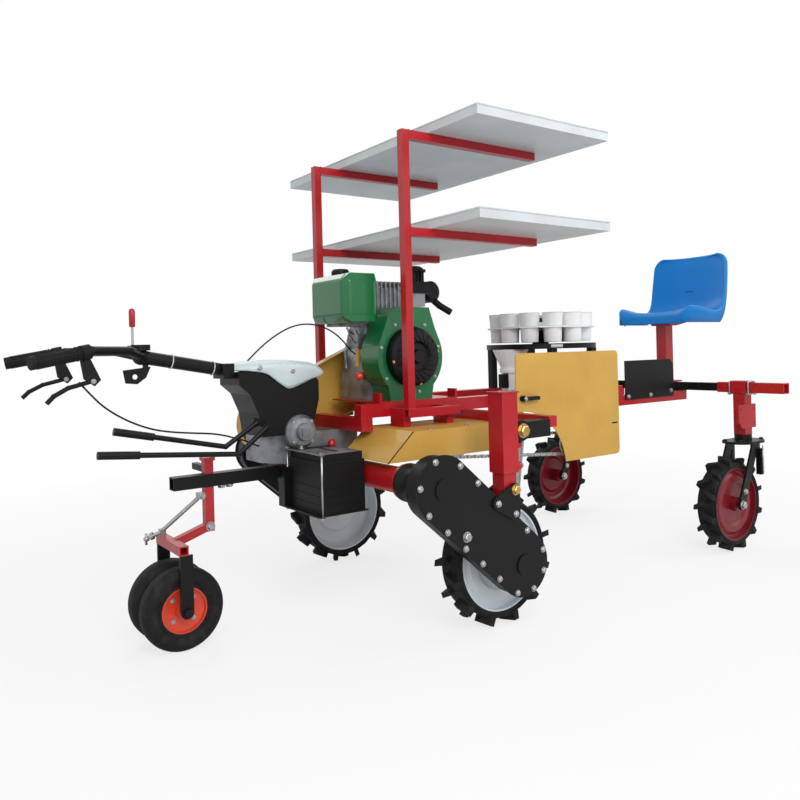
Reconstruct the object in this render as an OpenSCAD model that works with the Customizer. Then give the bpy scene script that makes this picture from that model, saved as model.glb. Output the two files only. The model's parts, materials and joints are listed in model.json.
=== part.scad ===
// Walk-behind seedling transplanter with a rider's seat.
// Lengths run along X from the handlebars to the seat, the left side is -Y, the ground is Z = 0.
// Inside the modules X = 0 is the drive axle; place() moves the origin under the middle of the machine.

/* [Drive wheels] */
// Radius of a drive wheel at its lug tips
drive_r = 240; // [210:1:260]
// Distance between the two drive wheels' middle planes
drive_track = 1090; // [1060:1:1110]
// Width of a drive tyre
drive_tyre_w = 100; // [80:1:106]
// Radius of the tyre seat on a drive wheel's disc
drive_rim_r = 188; // [160:1:192]
// Height of the tyre lugs
lug_h = 28; // [10:1:32]
// Number of lugs on each side of a tyre
lug_count = 12; // [8:1:14]
// Radius of the stub axles of the drive wheels
stub_r = 17.5; // [12:0.5:24]

/* [Rear wheels] */
// Radius of a rear wheel at its lug tips
rear_r = 222; // [200:1:240]
// Distance between the two rear wheels' middle planes
rear_track = 1112; // [1060:1:1160]
// Width of a rear tyre
rear_tyre_w = 92; // [70:1:100]
// Radius of the tyre seat on a rear wheel's disc
rear_rim_r = 172; // [150:1:180]
// Distance along X from the drive axle to the swivel pins of the rear wheels
swivel_x = 1655; // [1500:5:1750]
// Distance of a rear axle behind its swivel pin
trail = 140; // [90:1:150]
// Radius of a rear axle bolt
rear_axle_r = 10; // [8:0.5:14]
// Radius of a swivel pin
swivel_pin_r = 16; // [12:0.5:20]

/* [Guide wheels] */
// Radius of the twin guide wheels
guide_r = 140; // [120:1:150]
// Width of one guide tyre
guide_tyre_w = 84; // [60:1:88]
// Distance between the two guide wheels' middle planes
guide_gap = 124; // [110:1:140]
// Radius of the tyre seat on a guide wheel's rim
guide_rim_r = 78; // [60:1:90]
// Distance of the guide wheels in front of the drive axle
guide_x = 992; // [940:1:1050]
// Radius of the guide wheels' axle
guide_axle_r = 10; // [8:0.5:12]

/* [Chassis] */
// Height of the deck line, the underside of the main rails
deck_z = 745; // [720:1:770]
// Side of the main rails' square section
rail_s = 50; // [40:1:54]
// Distance between the main rails' middle planes
rail_gap = 400; // [380:2:420]
// Side of the rear rails' square section
rear_rail_s = 48; // [40:1:50]
// Side of the lighter square tubes
tube_s = 32; // [28:1:36]
// Thickness of the engine's bed plate
bed_t = 6; // [4:1:10]
// Side of the rear crossbar's square sleeves
bar_s = 50; // [46:1:56]
// Wall of the rear crossbar's sleeves
bar_wall = 4.7; // [3:0.1:6]
// Half of the overall width over the rear crossbar
bar_half = 775; // [700:5:800]

/* [Chain cases] */
// Height of the upper shafts above the ground
shaft_z = 545; // [520:1:560]
// Distance of the upper shafts in front of the drive axle
shaft_x = 350; // [320:1:370]
// Radius of a chain case's round ends
case_r = 112; // [95:1:120]
// Thickness of a chain case
case_t = 66; // [50:1:70]
// Gap between a drive tyre and its chain case
case_gap = 38; // [30:1:45]

/* [Height columns] */
// Side of a column's sleeve
column_s = 72; // [64:1:80]
// Side of a column's sliding tube
column_tube_s = 58; // [48:1:60]
// Height of a column's top above the ground
column_top = 845; // [800:5:880]
// Height of a sleeve's lower end above the ground
sleeve_low = 565; // [545:1:620]
// Distance of the columns in front of the drive axle
column_x = 55; // [40:1:70]

/* [Engine] */
// Height of the crankshaft above the engine's bed
crank_h = 169; // [160:1:185]
// Distance of the crankshaft in front of the drive axle
crank_x = 100; // [80:1:120]
// Radius of the blower housing
blower_r = 158; // [140:1:160]
// Radius of the recoil starter
recoil_r = 113; // [90:1:120]

/* [Handlebar end] */
// Distance of the grips' ends in front of the drive axle
grip_x = 1470; // [1400:5:1520]
// Distance between the grips' middles
grip_gap = 450; // [400:5:500]
// Radius of the handlebar's tubes
handle_r = 15; // [11:0.5:16]
// Radius of the grips
grip_r = 20; // [18:0.5:22]

/* [Seedling racks] */
// Height of the upper tray's rim above the ground
rack_top = 1853; // [1780:1:1900]
// Height between the two trays
rack_pitch = 362; // [320:1:400]
// Length of a tray along X
tray_l = 698; // [640:2:720]
// Width of a tray along Y
tray_w = 1400; // [1300:2:1400]
// Height of a tray's rim
tray_h = 38; // [25:1:45]
// Thickness of a tray's sheet
tray_t = 3; // [2:0.5:4]
// Distance of the trays' middle line from the machine's middle line
tray_shift = 75; // [0:5:75]
// Distance between the rack posts' middle planes
post_gap = 656; // [620:2:680]
// Distance of the rack posts in front of the drive axle
post_x = 207; // [190:1:220]

/* [Planter] */
// Distance of the carousel's spindle behind the drive axle
carousel_x = 836; // [800:2:870]
// Radius of the circle of cup middles
cup_circle = 203; // [190:1:215]
// Number of cups
cup_count = 12; // [8:1:12]
// Radius of a cup
cup_r = 43; // [36:0.5:46]
// Wall of a cup
cup_wall = 3; // [2:0.5:4]
// Height of a cup
cup_h = 134; // [110:1:150]
// Height of the carousel's base plate above the ground
base_z = 985; // [970:1:1000]
// Thickness of the carousel's base plate
base_t = 24; // [10:1:30]
// Radius of the carousel's spindle
spindle_r = 15; // [10:0.5:20]
// Distance of the side panels from the machine's middle plane
panel_y = 320; // [300:1:330]
// Thickness of the side panels
panel_t = 4; // [2:0.5:6]

/* [Seat] */
// Width of the seat
seat_w = 436; // [400:2:450]
// Depth of the seat along X
seat_d = 386; // [360:2:400]
// Height of the seat's underside above the ground
seat_z = 1090; // [1040:5:1130]
// Height of the back above the seat's underside
back_h = 375; // [330:5:400]
// Distance of the seat post from the middle plane, to the left
seat_y = 125; // [100:5:140]

/* [Hidden] */
// Running clearance of a shaft in its bore
run = 0.3;
// Gap that parts fitted side by side leave
fit = 0.3;
// Depth by which a straight flank stays under the round end that it runs into
sunk = 0.02;
// Depth by which welded pieces reach into each other
weld = 4;
// Distance from the drive axle to the seat back, the rear end of the machine
rear_end = 1935;
drive_y = drive_track / 2;
rear_y = rear_track / 2;
rear_x = swivel_x - trail;
rail_y = rail_gap / 2;
rail_out = rail_y + rail_s / 2;
rail_top = deck_z + rail_s;
bed_z = rail_top + bed_t;
case_in = drive_y + drive_tyre_w / 2 + case_gap;
case_out = case_in + case_t;
case_y = case_in + case_t / 2;
post_y = post_gap / 2;
crank_z = bed_z + crank_h;
$fn = 48;

red = [0.70, 0.10, 0.13];
yellow = [0.78, 0.62, 0.27];
black = [0.06, 0.06, 0.07];
green = [0.05, 0.46, 0.25];
blue = [0.10, 0.48, 0.76];
pale = [0.80, 0.86, 0.87];
steel = [0.62, 0.64, 0.66];
disc_grey = [0.72, 0.76, 0.78];
disc_red = [0.55, 0.08, 0.13];
rim_orange = [0.84, 0.27, 0.17];
rubber = [0.05, 0.05, 0.06];

// Small builders

module place() translate([place_x, 0, 0]) children();

// The same shape on both sides of the middle plane
module both() {
    children();
    mirror([0, 1, 0]) children();
}

// Box between two opposite corners
module box(a, b) translate(a) cube(b - a);

// Outline in the X-Z plane, extruded along Y from y0 to y1
module side_plate(y0, y1) translate([0, y1, 0]) rotate([90, 0, 0]) linear_extrude(y1 - y0) children();

// Stadium between two points of a plane
module slot(p, q, r) {
    d = q - p;
    translate(p) circle(r);
    translate(q) circle(r);
    translate(p) rotate(atan2(d[1], d[0])) translate([0, -r + sunk]) square([norm(d), 2 * (r - sunk)]);
}

// Two circles of different radius with their outer tangents
module belt_outline(p, q, rp, rq) {
    d = q - p;
    lean = acos((rp - rq) / norm(d));
    a = atan2(d[1], d[0]);
    rim = function(c, r, t) c + r * [cos(a + t), sin(a + t)];
    translate(p) circle(rp);
    translate(q) circle(rq);
    polygon([rim(p, rp, -lean), rim(q, rq, -lean), rim(q, rq, lean), rim(p, rp, lean)]);
}

// Puts a shape that stands on Z along the line from p to q
module along(p, q) {
    d = q - p;
    translate(p) rotate([0, acos(d[2] / norm(d)), atan2(d[1], d[0])]) children();
}

// Round bar through a list of points, with ball corners
module rod(points, r) {
    for (i = [0 : len(points) - 2])
        along(points[i], points[i + 1]) cylinder(r = r, h = norm(points[i + 1] - points[i]));
    for (i = [1 : len(points) - 2]) translate(points[i]) sphere(r + 0.6);
}

// Square tube along X, Y or Z with its middle on the axis
module bar_x(x0, x1, s) translate([x0, -s / 2, -s / 2]) cube([x1 - x0, s, s]);
module bar_y(y0, y1, s) translate([-s / 2, y0, -s / 2]) cube([s, y1 - y0, s]);
module bar_z(z0, z1, s) translate([-s / 2, -s / 2, z0]) cube([s, s, z1 - z0]);

// Wheels: built with their axle on Z, then turned on Y

module wheel_at(x, y, z) translate([x, y, z]) rotate([90, 0, 0]) children();

// Lugged tyre: carcass of revolution and two offset rows of slanted lugs
module lug_tyre(r, w, seat_r) {
    tread_r = r - lug_h;
    half = w / 2;
    shoulder = 8;
    lug_t = 22;
    slant = 26;
    root = 8;
    middle = 4;
    rotate_extrude($fn = 96) polygon([
        [seat_r + fit, -half + shoulder], [seat_r + fit + shoulder, -half], [tread_r - 2 * shoulder, -half],
        [tread_r, -half + shoulder], [tread_r, half - shoulder], [tread_r - 2 * shoulder, half],
        [seat_r + fit + shoulder, half], [seat_r + fit, half - shoulder]
    ]);
    for (i = [0 : lug_count - 1], side = [-1, 1])
        rotate(360 / lug_count * (i + side / 4)) translate([tread_r - root, 0, 0]) rotate([90, 0, 90])
            linear_extrude(lug_h + root - r + sqrt(r * r - pow(lug_t / 2 + slant, 2))) polygon([
                [-lug_t / 2, -middle * side], [lug_t / 2, -middle * side],
                [lug_t / 2 + slant, half * side], [-lug_t / 2 + slant, half * side]
            ]);
}

// Dished wheel disc with a rim band, two pressed steps and a hub
module disc(seat_r, w, bore_r, hub_half) {
    half = w / 2;
    band = 6;
    web = 5;
    hub_r = bore_r + 24;
    face = half - 30;
    step = 9;
    rotate_extrude($fn = 96) polygon([
        [bore_r + run, -hub_half], [hub_r, -hub_half], [hub_r, face], [seat_r * 0.55, face],
        [seat_r * 0.62, face + step], [seat_r * 0.78, face + step], [seat_r * 0.86, face],
        [seat_r - band, face], [seat_r - band, -half + band], [seat_r, -half + band],
        [seat_r, half - band], [seat_r - band, half - band], [seat_r - band, face + web],
        [seat_r * 0.86, face + web], [seat_r * 0.78, face + step + web],
        [seat_r * 0.62, face + step + web], [seat_r * 0.55, face + web], [hub_r, face + web],
        [hub_r, hub_half], [bore_r + run, hub_half]
    ]);
}

module drive_disc(side) color(disc_grey)
    wheel_at(0, side * drive_y, drive_r) mirror([0, 0, side > 0 ? 1 : 0]) disc(drive_rim_r, drive_tyre_w, stub_r, 45);
module drive_tyre(side) color(rubber)
    wheel_at(0, side * drive_y, drive_r) mirror([0, side > 0 ? 1 : 0, 0]) lug_tyre(drive_r, drive_tyre_w, drive_rim_r);
module rear_disc(side) color(disc_red)
    wheel_at(rear_x, side * rear_y, rear_r) mirror([0, 0, side > 0 ? 1 : 0]) disc(rear_rim_r, rear_tyre_w, rear_axle_r, 50);
module rear_tyre(side) color(rubber)
    wheel_at(rear_x, side * rear_y, rear_r) lug_tyre(rear_r, rear_tyre_w, rear_rim_r);

module drive_disc_left() drive_disc(-1);
module drive_disc_right() drive_disc(1);
module drive_tyre_left() drive_tyre(-1);
module drive_tyre_right() drive_tyre(1);
module rear_disc_left() rear_disc(-1);
module rear_disc_right() rear_disc(1);
module rear_tyre_left() rear_tyre(-1);
module rear_tyre_right() rear_tyre(1);

module guide_tyres() color(rubber) both() wheel_at(-guide_x, -guide_gap / 2, guide_r) {
    half = guide_tyre_w / 2;
    crown = 30;
    rotate_extrude($fn = 72) {
        difference() {
            union() {
                translate([guide_r - crown, -half + crown]) circle(crown);
                translate([guide_r - crown, half - crown]) circle(crown);
                translate([guide_r - crown, -half + crown]) square([crown, 2 * (half - crown)]);
                translate([guide_rim_r + fit, -half + 10]) square([guide_r - crown - guide_rim_r - fit, 2 * half - 20]);
            }
            translate([0, -half]) square([guide_rim_r + fit, 2 * half]);
        }
    }
}

module guide_rims() color(rim_orange) wheel_at(-guide_x, 0, guide_r) {
    half = guide_tyre_w / 2;
    hub_r = guide_axle_r + 16;
    lip = 5;
    mid = guide_gap / 2;
    rotate_extrude($fn = 72) polygon([
        [guide_axle_r + run, -mid - half + 12], [hub_r, -mid - half + 12], [hub_r, -mid - 6],
        [guide_rim_r - lip, -mid - 16], [guide_rim_r - lip, -mid - half + 12],
        [guide_rim_r, -mid - half + 12], [guide_rim_r, -mid + half - 12],
        [guide_rim_r - lip, -mid + half - 12], [guide_rim_r - lip, -mid - 10], [hub_r, -mid],
        [hub_r, mid], [guide_rim_r - lip, mid + 10], [guide_rim_r - lip, mid - half + 12],
        [guide_rim_r, mid - half + 12], [guide_rim_r, mid + half - 12],
        [guide_rim_r - lip, mid + half - 12], [guide_rim_r - lip, mid + 16], [hub_r, mid + 6],
        [hub_r, mid + half - 12], [guide_axle_r + run, mid + half - 12]
    ]);
}

// Chassis

cross_x = 170;
cross_s = 40;
front_cross_x = -330;
rail_front = -355;
rail_back = carousel_x + 330;
rear_rail_x0 = 980;
rear_rail_back = swivel_x + 40;
// Engine bed: its ends along X, its end lugs, and the edge that it keeps from the belt guard
bed_x0 = -270;
bed_x1 = 110;
bed_lug = [10, 50, 34];
belt_in = 133;
bed_y1 = belt_in - 5;
guard_top = 708;

module chassis_rails() color(red) both() union() {
    translate([0, rail_y, deck_z + rail_s / 2]) bar_x(rail_front, rail_back, rail_s);
    translate([0, rail_y, deck_z - rear_rail_s / 2]) bar_x(rear_rail_x0, rear_rail_back, rear_rail_s);
}

module chassis_cross() color(red) {
    strap = 34;
    end_gap = 10;
    translate([cross_x, 0, deck_z - cross_s / 2]) bar_y(-case_out + end_gap, case_out - end_gap, cross_s);
    translate([front_cross_x, 0, deck_z - rail_s / 2]) bar_y(-rail_out, bed_y1, rail_s);
    box([bed_x0, -rail_out, rail_top], [bed_x1, bed_y1, bed_z]);
    box([bed_x1 - strap, bed_y1, rail_top], [bed_x1, rail_out, bed_z]);
    for (x = [bed_x0, bed_x1 - bed_lug[0]])
        translate([x, -rail_out, bed_z - weld]) cube(bed_lug + [0, 0, weld]);
    for (x = [-post_x, 0])
        both() box([x - tube_s / 2, rail_out, guard_top], [x + tube_s / 2, post_y - tube_s / 2, deck_z + tube_s]);
}

// Engine

tank_z = 1108;
// Crankcase's own middle is the crankshaft; heights are from the bed
module crankcase() color(steel) translate([-crank_x, 0, bed_z]) {
    half = 125;
    waist = 20;
    neck = 50;
    knee = 200;
    foot = 60;
    top = 300;
    front = -80;
    back = 130;
    shaft_r = 16;
    pulley_r = 48;
    pulley = [138, 162];
    // Tank bracket, sump flange, injection pump, oil plug and governor rod
    bracket = [[-240, -60], [-96, 40]];
    bracket_t = 12;
    bracket_leg = [16, 100];
    flange = 10;
    pump = [[-150, -50, 205], [-90, 30, 262]];
    plug = [-half - 12, -52, 96];
    plug_r = 14;
    side_plate(front, back) polygon([
        [-half, 0], [half, 0], [half, foot], [half - waist, knee], [half - neck, top], [-half + neck, top],
        [-half + waist, knee], [-half, foot]
    ]);
    box([-half - flange, front, 0], [half + flange, back - flange, flange]);
    translate([0, back, crank_h]) rotate([-90, 0, 0]) cylinder(r = shaft_r, h = pulley[1] + weld - back);
    translate([0, pulley[0], crank_h]) rotate([-90, 0, 0]) cylinder(r = pulley_r, h = pulley[1] - pulley[0]);
    box([bracket[0][0], bracket[0][1], tank_z - bed_z - bracket_t], [bracket[1][0], bracket[1][1], tank_z - bed_z]);
    box([bracket[1][0] - bracket_leg[0], bracket[0][1], tank_z - bed_z - bracket_leg[1]],
        [bracket[1][0], bracket[1][1], tank_z - bed_z - bracket_t + weld]);
    box(pump[0], pump[1]);
    translate(plug) rotate([0, 90, 0]) cylinder(r = plug_r, h = 30);
    rod([[-135, 14, 230], [-172, 14, 190], [-168, 14, 130], [-110, 14, 120]], 5);
    rod([[-120, 0, 250], [-160, 4, 280], [-168, 4, 290]], 4);
}

module blower_housing() color(green) translate([-crank_x, 0, crank_z]) difference() {
    side_plate(-200, -80) union() {
        circle(blower_r);
        polygon([[-blower_r * 0.96, 45], [-105, 160], [-60, 195], [95, 195], [120, 120], [blower_r * 0.96, 45]]);
        polygon([[-100, -crank_h], [100, -crank_h], [120, -60], [-120, -60]]);
    }
    translate([0, -190, 0]) rotate([90, 0, 0]) cylinder(r = recoil_r + 8, h = 20);
}

module recoil_starter() color(black) translate([-crank_x, -190, crank_z]) rotate([90, 0, 0])
    rotate_extrude($fn = 72) polygon([
        [0, 0], [recoil_r, 0], [recoil_r, 42], [recoil_r - 12, 56], [60, 60], [52, 50], [28, 50], [22, 62], [0, 62]
    ]);

head_low = 300;
manifold_top = 134;
module cylinder_head() color(steel) translate([-crank_x, 0, bed_z + head_low]) {
    barrel_top = 62;
    core_top = 150;
    fin_count = 9;
    fin_pitch = 21;
    fin_t = 7;
    fin_x = -88;
    fin_top = 176;
    ring_pitch = 14;
    flange_t = 8;
    box([-75, -70, 0], [85, 100, barrel_top]);
    box([-84, -76, barrel_top - flange_t], [94, 106, barrel_top]);
    box([-66, -62, barrel_top], [76, 92, core_top]);
    for (i = [0 : 2]) box([-95, -80, flange_t + ring_pitch * i], [110, 115, 2 * flange_t - 2 + ring_pitch * i]);
    for (i = [0 : fin_count - 1])
        box([fin_x + fin_pitch * i, -70, barrel_top - 2], [fin_x + fin_pitch * i + fin_t, 100, fin_top]);
    // Intake manifold toward the air cleaner
    box([76, -40, 78], [200, 50, manifold_top]);
}

module fuel_tank() color(green) {
    x0 = -405;
    x1 = -245;
    y0 = -210;
    y1 = 60;
    z0 = tank_z;
    z1 = 1290;
    c = 26;
    cap = [-330, -60];
    cap_r = 28;
    cap_h = 22;
    collar_r = 34;
    collar_h = 6;
    intersection() {
        side_plate(y0, y1) polygon([
            [x0 + c, z0], [x1 - c, z0], [x1, z0 + c], [x1, z1 - c], [x1 - c, z1], [x0 + c, z1], [x0, z1 - c], [x0, z0 + c]
        ]);
        translate([0, 0, z0]) linear_extrude(z1 - z0) polygon([
            [x0 + c, y0], [x1 - c, y0], [x1, y0 + c], [x1, y1 - c], [x1 - c, y1], [x0 + c, y1], [x0, y1 - c], [x0, y0 + c]
        ]);
    }
    translate([cap[0], cap[1], z1 - weld]) cylinder(r = collar_r, h = weld + collar_h);
    translate([cap[0], cap[1], z1]) cylinder(r = cap_r, h = cap_h);
}

// Air cleaner on the manifold: base box, slotted canister and a flat cap
air_x = 76;
module air_cleaner() color(black) translate([air_x, 4, bed_z + head_low + manifold_top]) {
    base = [[-52, -50], [52, 46]];
    base_h = 50;
    core_r = 36;
    bar_count = 14;
    bar_r = 44;
    bar_d = 8;
    bar_h = 44;
    cap_r = 52;
    lid_r = 40;
    cap_h = 10;
    box([base[0][0], base[0][1], 0], [base[1][0], base[1][1], base_h]);
    translate([0, 0, base_h]) cylinder(r = core_r, h = bar_h);
    for (i = [0 : bar_count - 1]) rotate(360 / bar_count * i)
        box([core_r - weld, -bar_d / 2, base_h - weld], [bar_r, bar_d / 2, base_h + bar_h + weld]);
    translate([0, 0, base_h + bar_h]) cylinder(r = cap_r, h = cap_h);
    translate([0, 0, base_h + bar_h + cap_h]) rotate_extrude() polygon([[0, -weld], [lid_r, -weld], [lid_r, 6], [lid_r - 12, 14], [0, 14]]);
}

// Muffler behind the head, with a turned-down tail
muffler_x = 200;
module muffler() color(black) translate([muffler_x, 150, bed_z + head_low + 150]) {
    r = 48;
    length = 120;
    end = 14;
    pipe_r = 15;
    stub = 213;
    drop = 26;
    rotate([90, 0, 0]) rotate_extrude() polygon([
        [0, 0], [r - end, 0], [r, end], [r, length - end], [r - end, length], [0, length]
    ]);
    translate([-stub, -length / 2, -drop]) rotate([0, 90, 0]) cylinder(r = pipe_r, h = stub);
    translate([0, -length / 2, 0]) rod([[0, 0, 0], [50, -40, -60], [96, -64, -92]], pipe_r);
}

// Drive

gear_half = 60;
module gearbox() color(steel) {
    side_plate(-gear_half, gear_half) polygon([
        [-270, 470], [-270, deck_z - rail_s], [-690, deck_z - rail_s], [-690, 600], [-560, 580],
        [-560, 500], [-460, 460], [-330, 440]
    ]);
    // Cast cover on the left with a square pad and four bosses
    cover = [-540, 705];
    pad = 34;
    pad_t = 84;
    boss_r = 9;
    difference() {
        translate([cover[0], -gear_half, cover[1]]) rotate([90, 0, 0]) {
            rotate_extrude() polygon([[0, -weld], [62, -weld], [62, 40], [50, 58], [34, 60], [30, 76], [0, 76]]);
            translate([-pad / 2, -pad / 2, 0]) cube([pad, pad, pad_t]);
            for (i = [0 : 3]) rotate(45 + 90 * i) translate([50, 0, 0]) cylinder(r = boss_r, h = 54);
        }
        box([cover[0] - 100, -console_half - fit, deck_z - rail_s], [cover[0] + 100, 0, deck_z + rail_s]);
    }
}

module axle_housings() color(red) both() translate([-shaft_x, 0, shaft_z]) rotate([-90, 0, 0])
    rotate_extrude() translate([0, gear_half]) polygon([
        [0, 0], [54, 0], [54, 14], [48, 24], [46, 60], [46, 420], [62, 430], [62, case_in - gear_half], [0, case_in - gear_half]
    ]);

module belt_guard() color(yellow) {
    low = [-565, 720];
    high = [-crank_x + 30, 915];
    outer = rail_y - rail_s / 2;
    wall = 4;
    side_plate(belt_in, outer - wall) difference() {
        belt_outline(low, high, 112, 132);
        belt_outline(low, high, 112 - wall, 132 - wall);
    }
    side_plate(outer - wall, outer) belt_outline(low, high, 112, 132);
}

guard_y0 = -450;
guard_y1 = -145;
guard_wall = 3;
module chain_guard() color(yellow) {
    low = 606;
    wall = guard_wall;
    nose = -395;
    rake = -282;
    back = 145;
    difference() {
        side_plate(guard_y0, guard_y1) polygon([[nose, low], [back, low], [back, guard_top], [rake, guard_top]]);
        side_plate(guard_y0 + wall, guard_y1 - wall) polygon([
            [nose, low - wall], [back + wall, low - wall], [back + wall, guard_top - wall], [rake, guard_top - wall],
            [nose + wall + 1, low]
        ]);
    }
}

// Roller chain from the guard's sprocket to the planter's, with their shafts
chain_y = -285;
chain_a = [60, 612];
chain_b = [690, 562];
chain_ra = 46;
chain_rb = 46;
chain_pitch = 19.05;

function chain_at(s) = let(
    d = chain_b - chain_a, l = norm(d), h = d / l, n = [-h[1], h[0]], arc = PI * chain_ra, a = atan2(h[1], h[0]))
    s < l ? [chain_a - n * chain_ra + h * s, a]
    : s < l + arc ? let(t = (s - l) / arc * 180) [chain_b + chain_rb * [cos(a - 90 + t), sin(a - 90 + t)], a + t]
    : s < 2 * l + arc ? [chain_b + n * chain_rb - h * (s - l - arc), a + 180]
    : let(t = (s - 2 * l - arc) / arc * 180) [chain_a + chain_ra * [cos(a + 90 + t), sin(a + 90 + t)], a + 180 + t];

module drive_chain() color(steel) {
    loop = 2 * norm(chain_b - chain_a) + 2 * PI * chain_ra;
    count = 2 * round(loop / chain_pitch / 2);
    step = loop / count;
    outer = [step + 8, 3, 13];
    inner = [step + 5, 11, 10];
    gap = 12;
    wheel_t = 8;
    shaft_r = 12;
    for (i = [0 : count - 1]) let(p = chain_at(i * step))
        translate([p[0][0], chain_y, p[0][1]]) rotate([0, -p[1], 0])
            if (i % 2 == 0) cube(inner, center = true);
            else for (y = [-gap / 2, gap / 2]) translate([0, y, 0]) cube(outer, center = true);
    for (c = [chain_a, chain_b]) side_plate(chain_y - wheel_t / 2, chain_y + wheel_t / 2) translate(c) circle(chain_ra);
    side_plate(chain_y, guard_y1 - guard_wall) translate(chain_a) circle(shaft_r);
    side_plate(-panel_y + panel_t / 2, chain_y) translate(chain_b) circle(shaft_r);
}

column_low = 470;
upper = [-shaft_x, shaft_z];
lower = [0, drive_r];
ear_pin = [-column_x + 12, 508];
ear_a = [-124, 470];
ear_b = [-44, 425];
ear_r = 22;
ear_t = 8;
ear_pin_r = 10;
stub_in = 50;

module ear_outline() {
    slot(ear_pin, ear_a, ear_r);
    slot(ear_pin, ear_b, ear_r);
    slot(ear_a, ear_b, ear_r);
    polygon([ear_pin, ear_a, ear_b]);
}

module chain_cases() color(black) both() union() {
    cover = 6;
    side_plate(case_in, case_out - 8) slot(upper, lower, case_r - cover);
    side_plate(case_out - 8, case_out) slot(upper, lower, case_r);
    for (c = [upper, lower]) translate([c[0], case_out - weld, c[1]]) rotate([-90, 0, 0]) cylinder(r = 36, h = weld + 5);
    side_plate(case_out - weld, case_out + ear_t) ear_outline();
    side_plate(case_in - ear_t, case_in + weld) ear_outline();
    translate([lower[0], drive_y - stub_in, lower[1]]) rotate([-90, 0, 0])
        cylinder(r = stub_r, h = case_in + weld - drive_y + stub_in);
    translate([ear_pin[0], case_in, ear_pin[1]]) rotate([-90, 0, 0]) cylinder(r = ear_pin_r, h = case_t);
}

// Set-screw bosses on a sleeve's rear face
tab_z = [580, 654];
tab_r = 11;
tab_l = 16;
cap_t = 5;
module height_columns() color(red) both() difference() {
    translate([-column_x, case_y, 0]) {
        bar_z(sleeve_low, column_top - cap_t, column_s);
        bar_z(column_top - cap_t, column_top, column_s + 2 * cap_t);
        bar_z(column_low, sleeve_low, column_tube_s);
        for (z = tab_z) translate([column_s / 2 - weld, 0, z]) rotate([0, 90, 0]) cylinder(r = tab_r, h = tab_l + weld);
    }
    translate([ear_pin[0], case_in, ear_pin[1]]) rotate([-90, 0, 0]) cylinder(r = ear_pin_r + fit, h = case_t);
}

module column_arms() color(black) both() {
    x0 = -column_x + column_s / 2;
    mid = deck_z - cross_s / 2 - 20;
    half_w = 28;
    root = 30;
    eye_r = 36;
    bar_h = 60;
    side_plate(case_y - half_w, case_y + half_w) difference() {
        union() {
            translate([x0 + root, mid]) circle(eye_r);
            translate([x0, mid - eye_r]) square([root, 2 * eye_r]);
            translate([x0 + root, mid - bar_h / 2]) square([cross_x - cross_s / 2 - x0 - root, bar_h]);
        }
        translate([x0 - 2 * root, mid - bar_h]) square([2 * root, 2 * bar_h]);
    }
}

// Handlebar end

console_top = 930;
console_half = 88;
neck_x = -775;
module console() color(black) side_plate(-console_half, console_half) polygon([
    [-690, deck_z - rail_s], [-490, deck_z - rail_s], [-455, 820], [-455, console_top - 40], [-490, console_top],
    [neck_x, console_top], [neck_x, 885], [-735, 850], [-705, 780]
]);

module console_cap() color(pale) {
    cap_lid();
    console_skirt();
}
module cap_lid() intersection() {
    side_plate(-150, 150) polygon([
        [neck_x, console_top], [-490, console_top], [-430, console_top - 30], [-425, console_top], [-480, 962],
        [-640, 972], [neck_x, 964]
    ]);
    translate([0, 0, 800]) linear_extrude(300) polygon([
        [neck_x, -50], [-690, -105], [-500, -130], [-425, -110], [-425, 110], [-500, 130], [-690, 105], [neck_x, 50]
    ]);
}
module console_skirt() {
    skirt_t = 4;
    y = console_half + fit;
    both() side_plate(y, y + skirt_t) polygon([[-695, 940], [-440, 940], [-462, 905], [-583, 866]]);
}

// Handlebar: a neck from the console to a split, then one tube to each grip
grip_end = [-grip_x, grip_gap / 2, 985];
split = [-1090, 0, 996];
handle_path = [split + [0, 14, 0], [-1150, 84, 1016], [-1290, grip_gap / 2 - 40, 1018], grip_end];
neck_r = 23;
neck_foot = [neck_x - 12, 0, 939];
grip_len = 150;
function toward(a, b, l) = a + (b - a) * l / norm(b - a);
grip_start = toward(grip_end, handle_path[2], grip_len);
tube_end = toward(grip_end, handle_path[2], 8);
grip_dir = (grip_end - handle_path[2]) / norm(grip_end - handle_path[2]);
front_end = grip_x + grip_r * sqrt(1 - grip_dir[0] * grip_dir[0]);
// Shift that puts the origin under the middle of the machine
place_x = (front_end - rear_end) / 2;

module handlebar() color(black) {
    clamp_t = 42;
    clamp_half = 48;
    hang = [[-1150, 952], [-1058, 962], [-1074, 926], [-1104, 904], [-1142, 908]];
    hang_t = 4;
    hang_hole = [-1111, 929];
    hang_hole_r = 9;
    base_r = 32;
    base_h = 12;
    both() rod([handle_path[0], handle_path[1], handle_path[2], tube_end], handle_r);
    along(neck_foot, split) cylinder(r = neck_r, h = norm(split - neck_foot));
    translate(split) sphere(neck_r + 5);
    box([neck_x - clamp_t, -clamp_half, 910], [neck_x, clamp_half, 964]);
    // Switch bracket under the neck and the base of the speed lever over it
    side_plate(-hang_t, hang_t) difference() {
        polygon(hang);
        translate(hang_hole) circle(hang_hole_r);
    }
    box([-1084, -hang_t, 950], [-1066, hang_t, 990]);
    translate(split + [0, 0, neck_r - 2]) cylinder(r = base_r, h = base_h + 8);
    translate(split + [-40, -12, neck_r + 8]) cube([50, 24, 8]);
}

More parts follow.
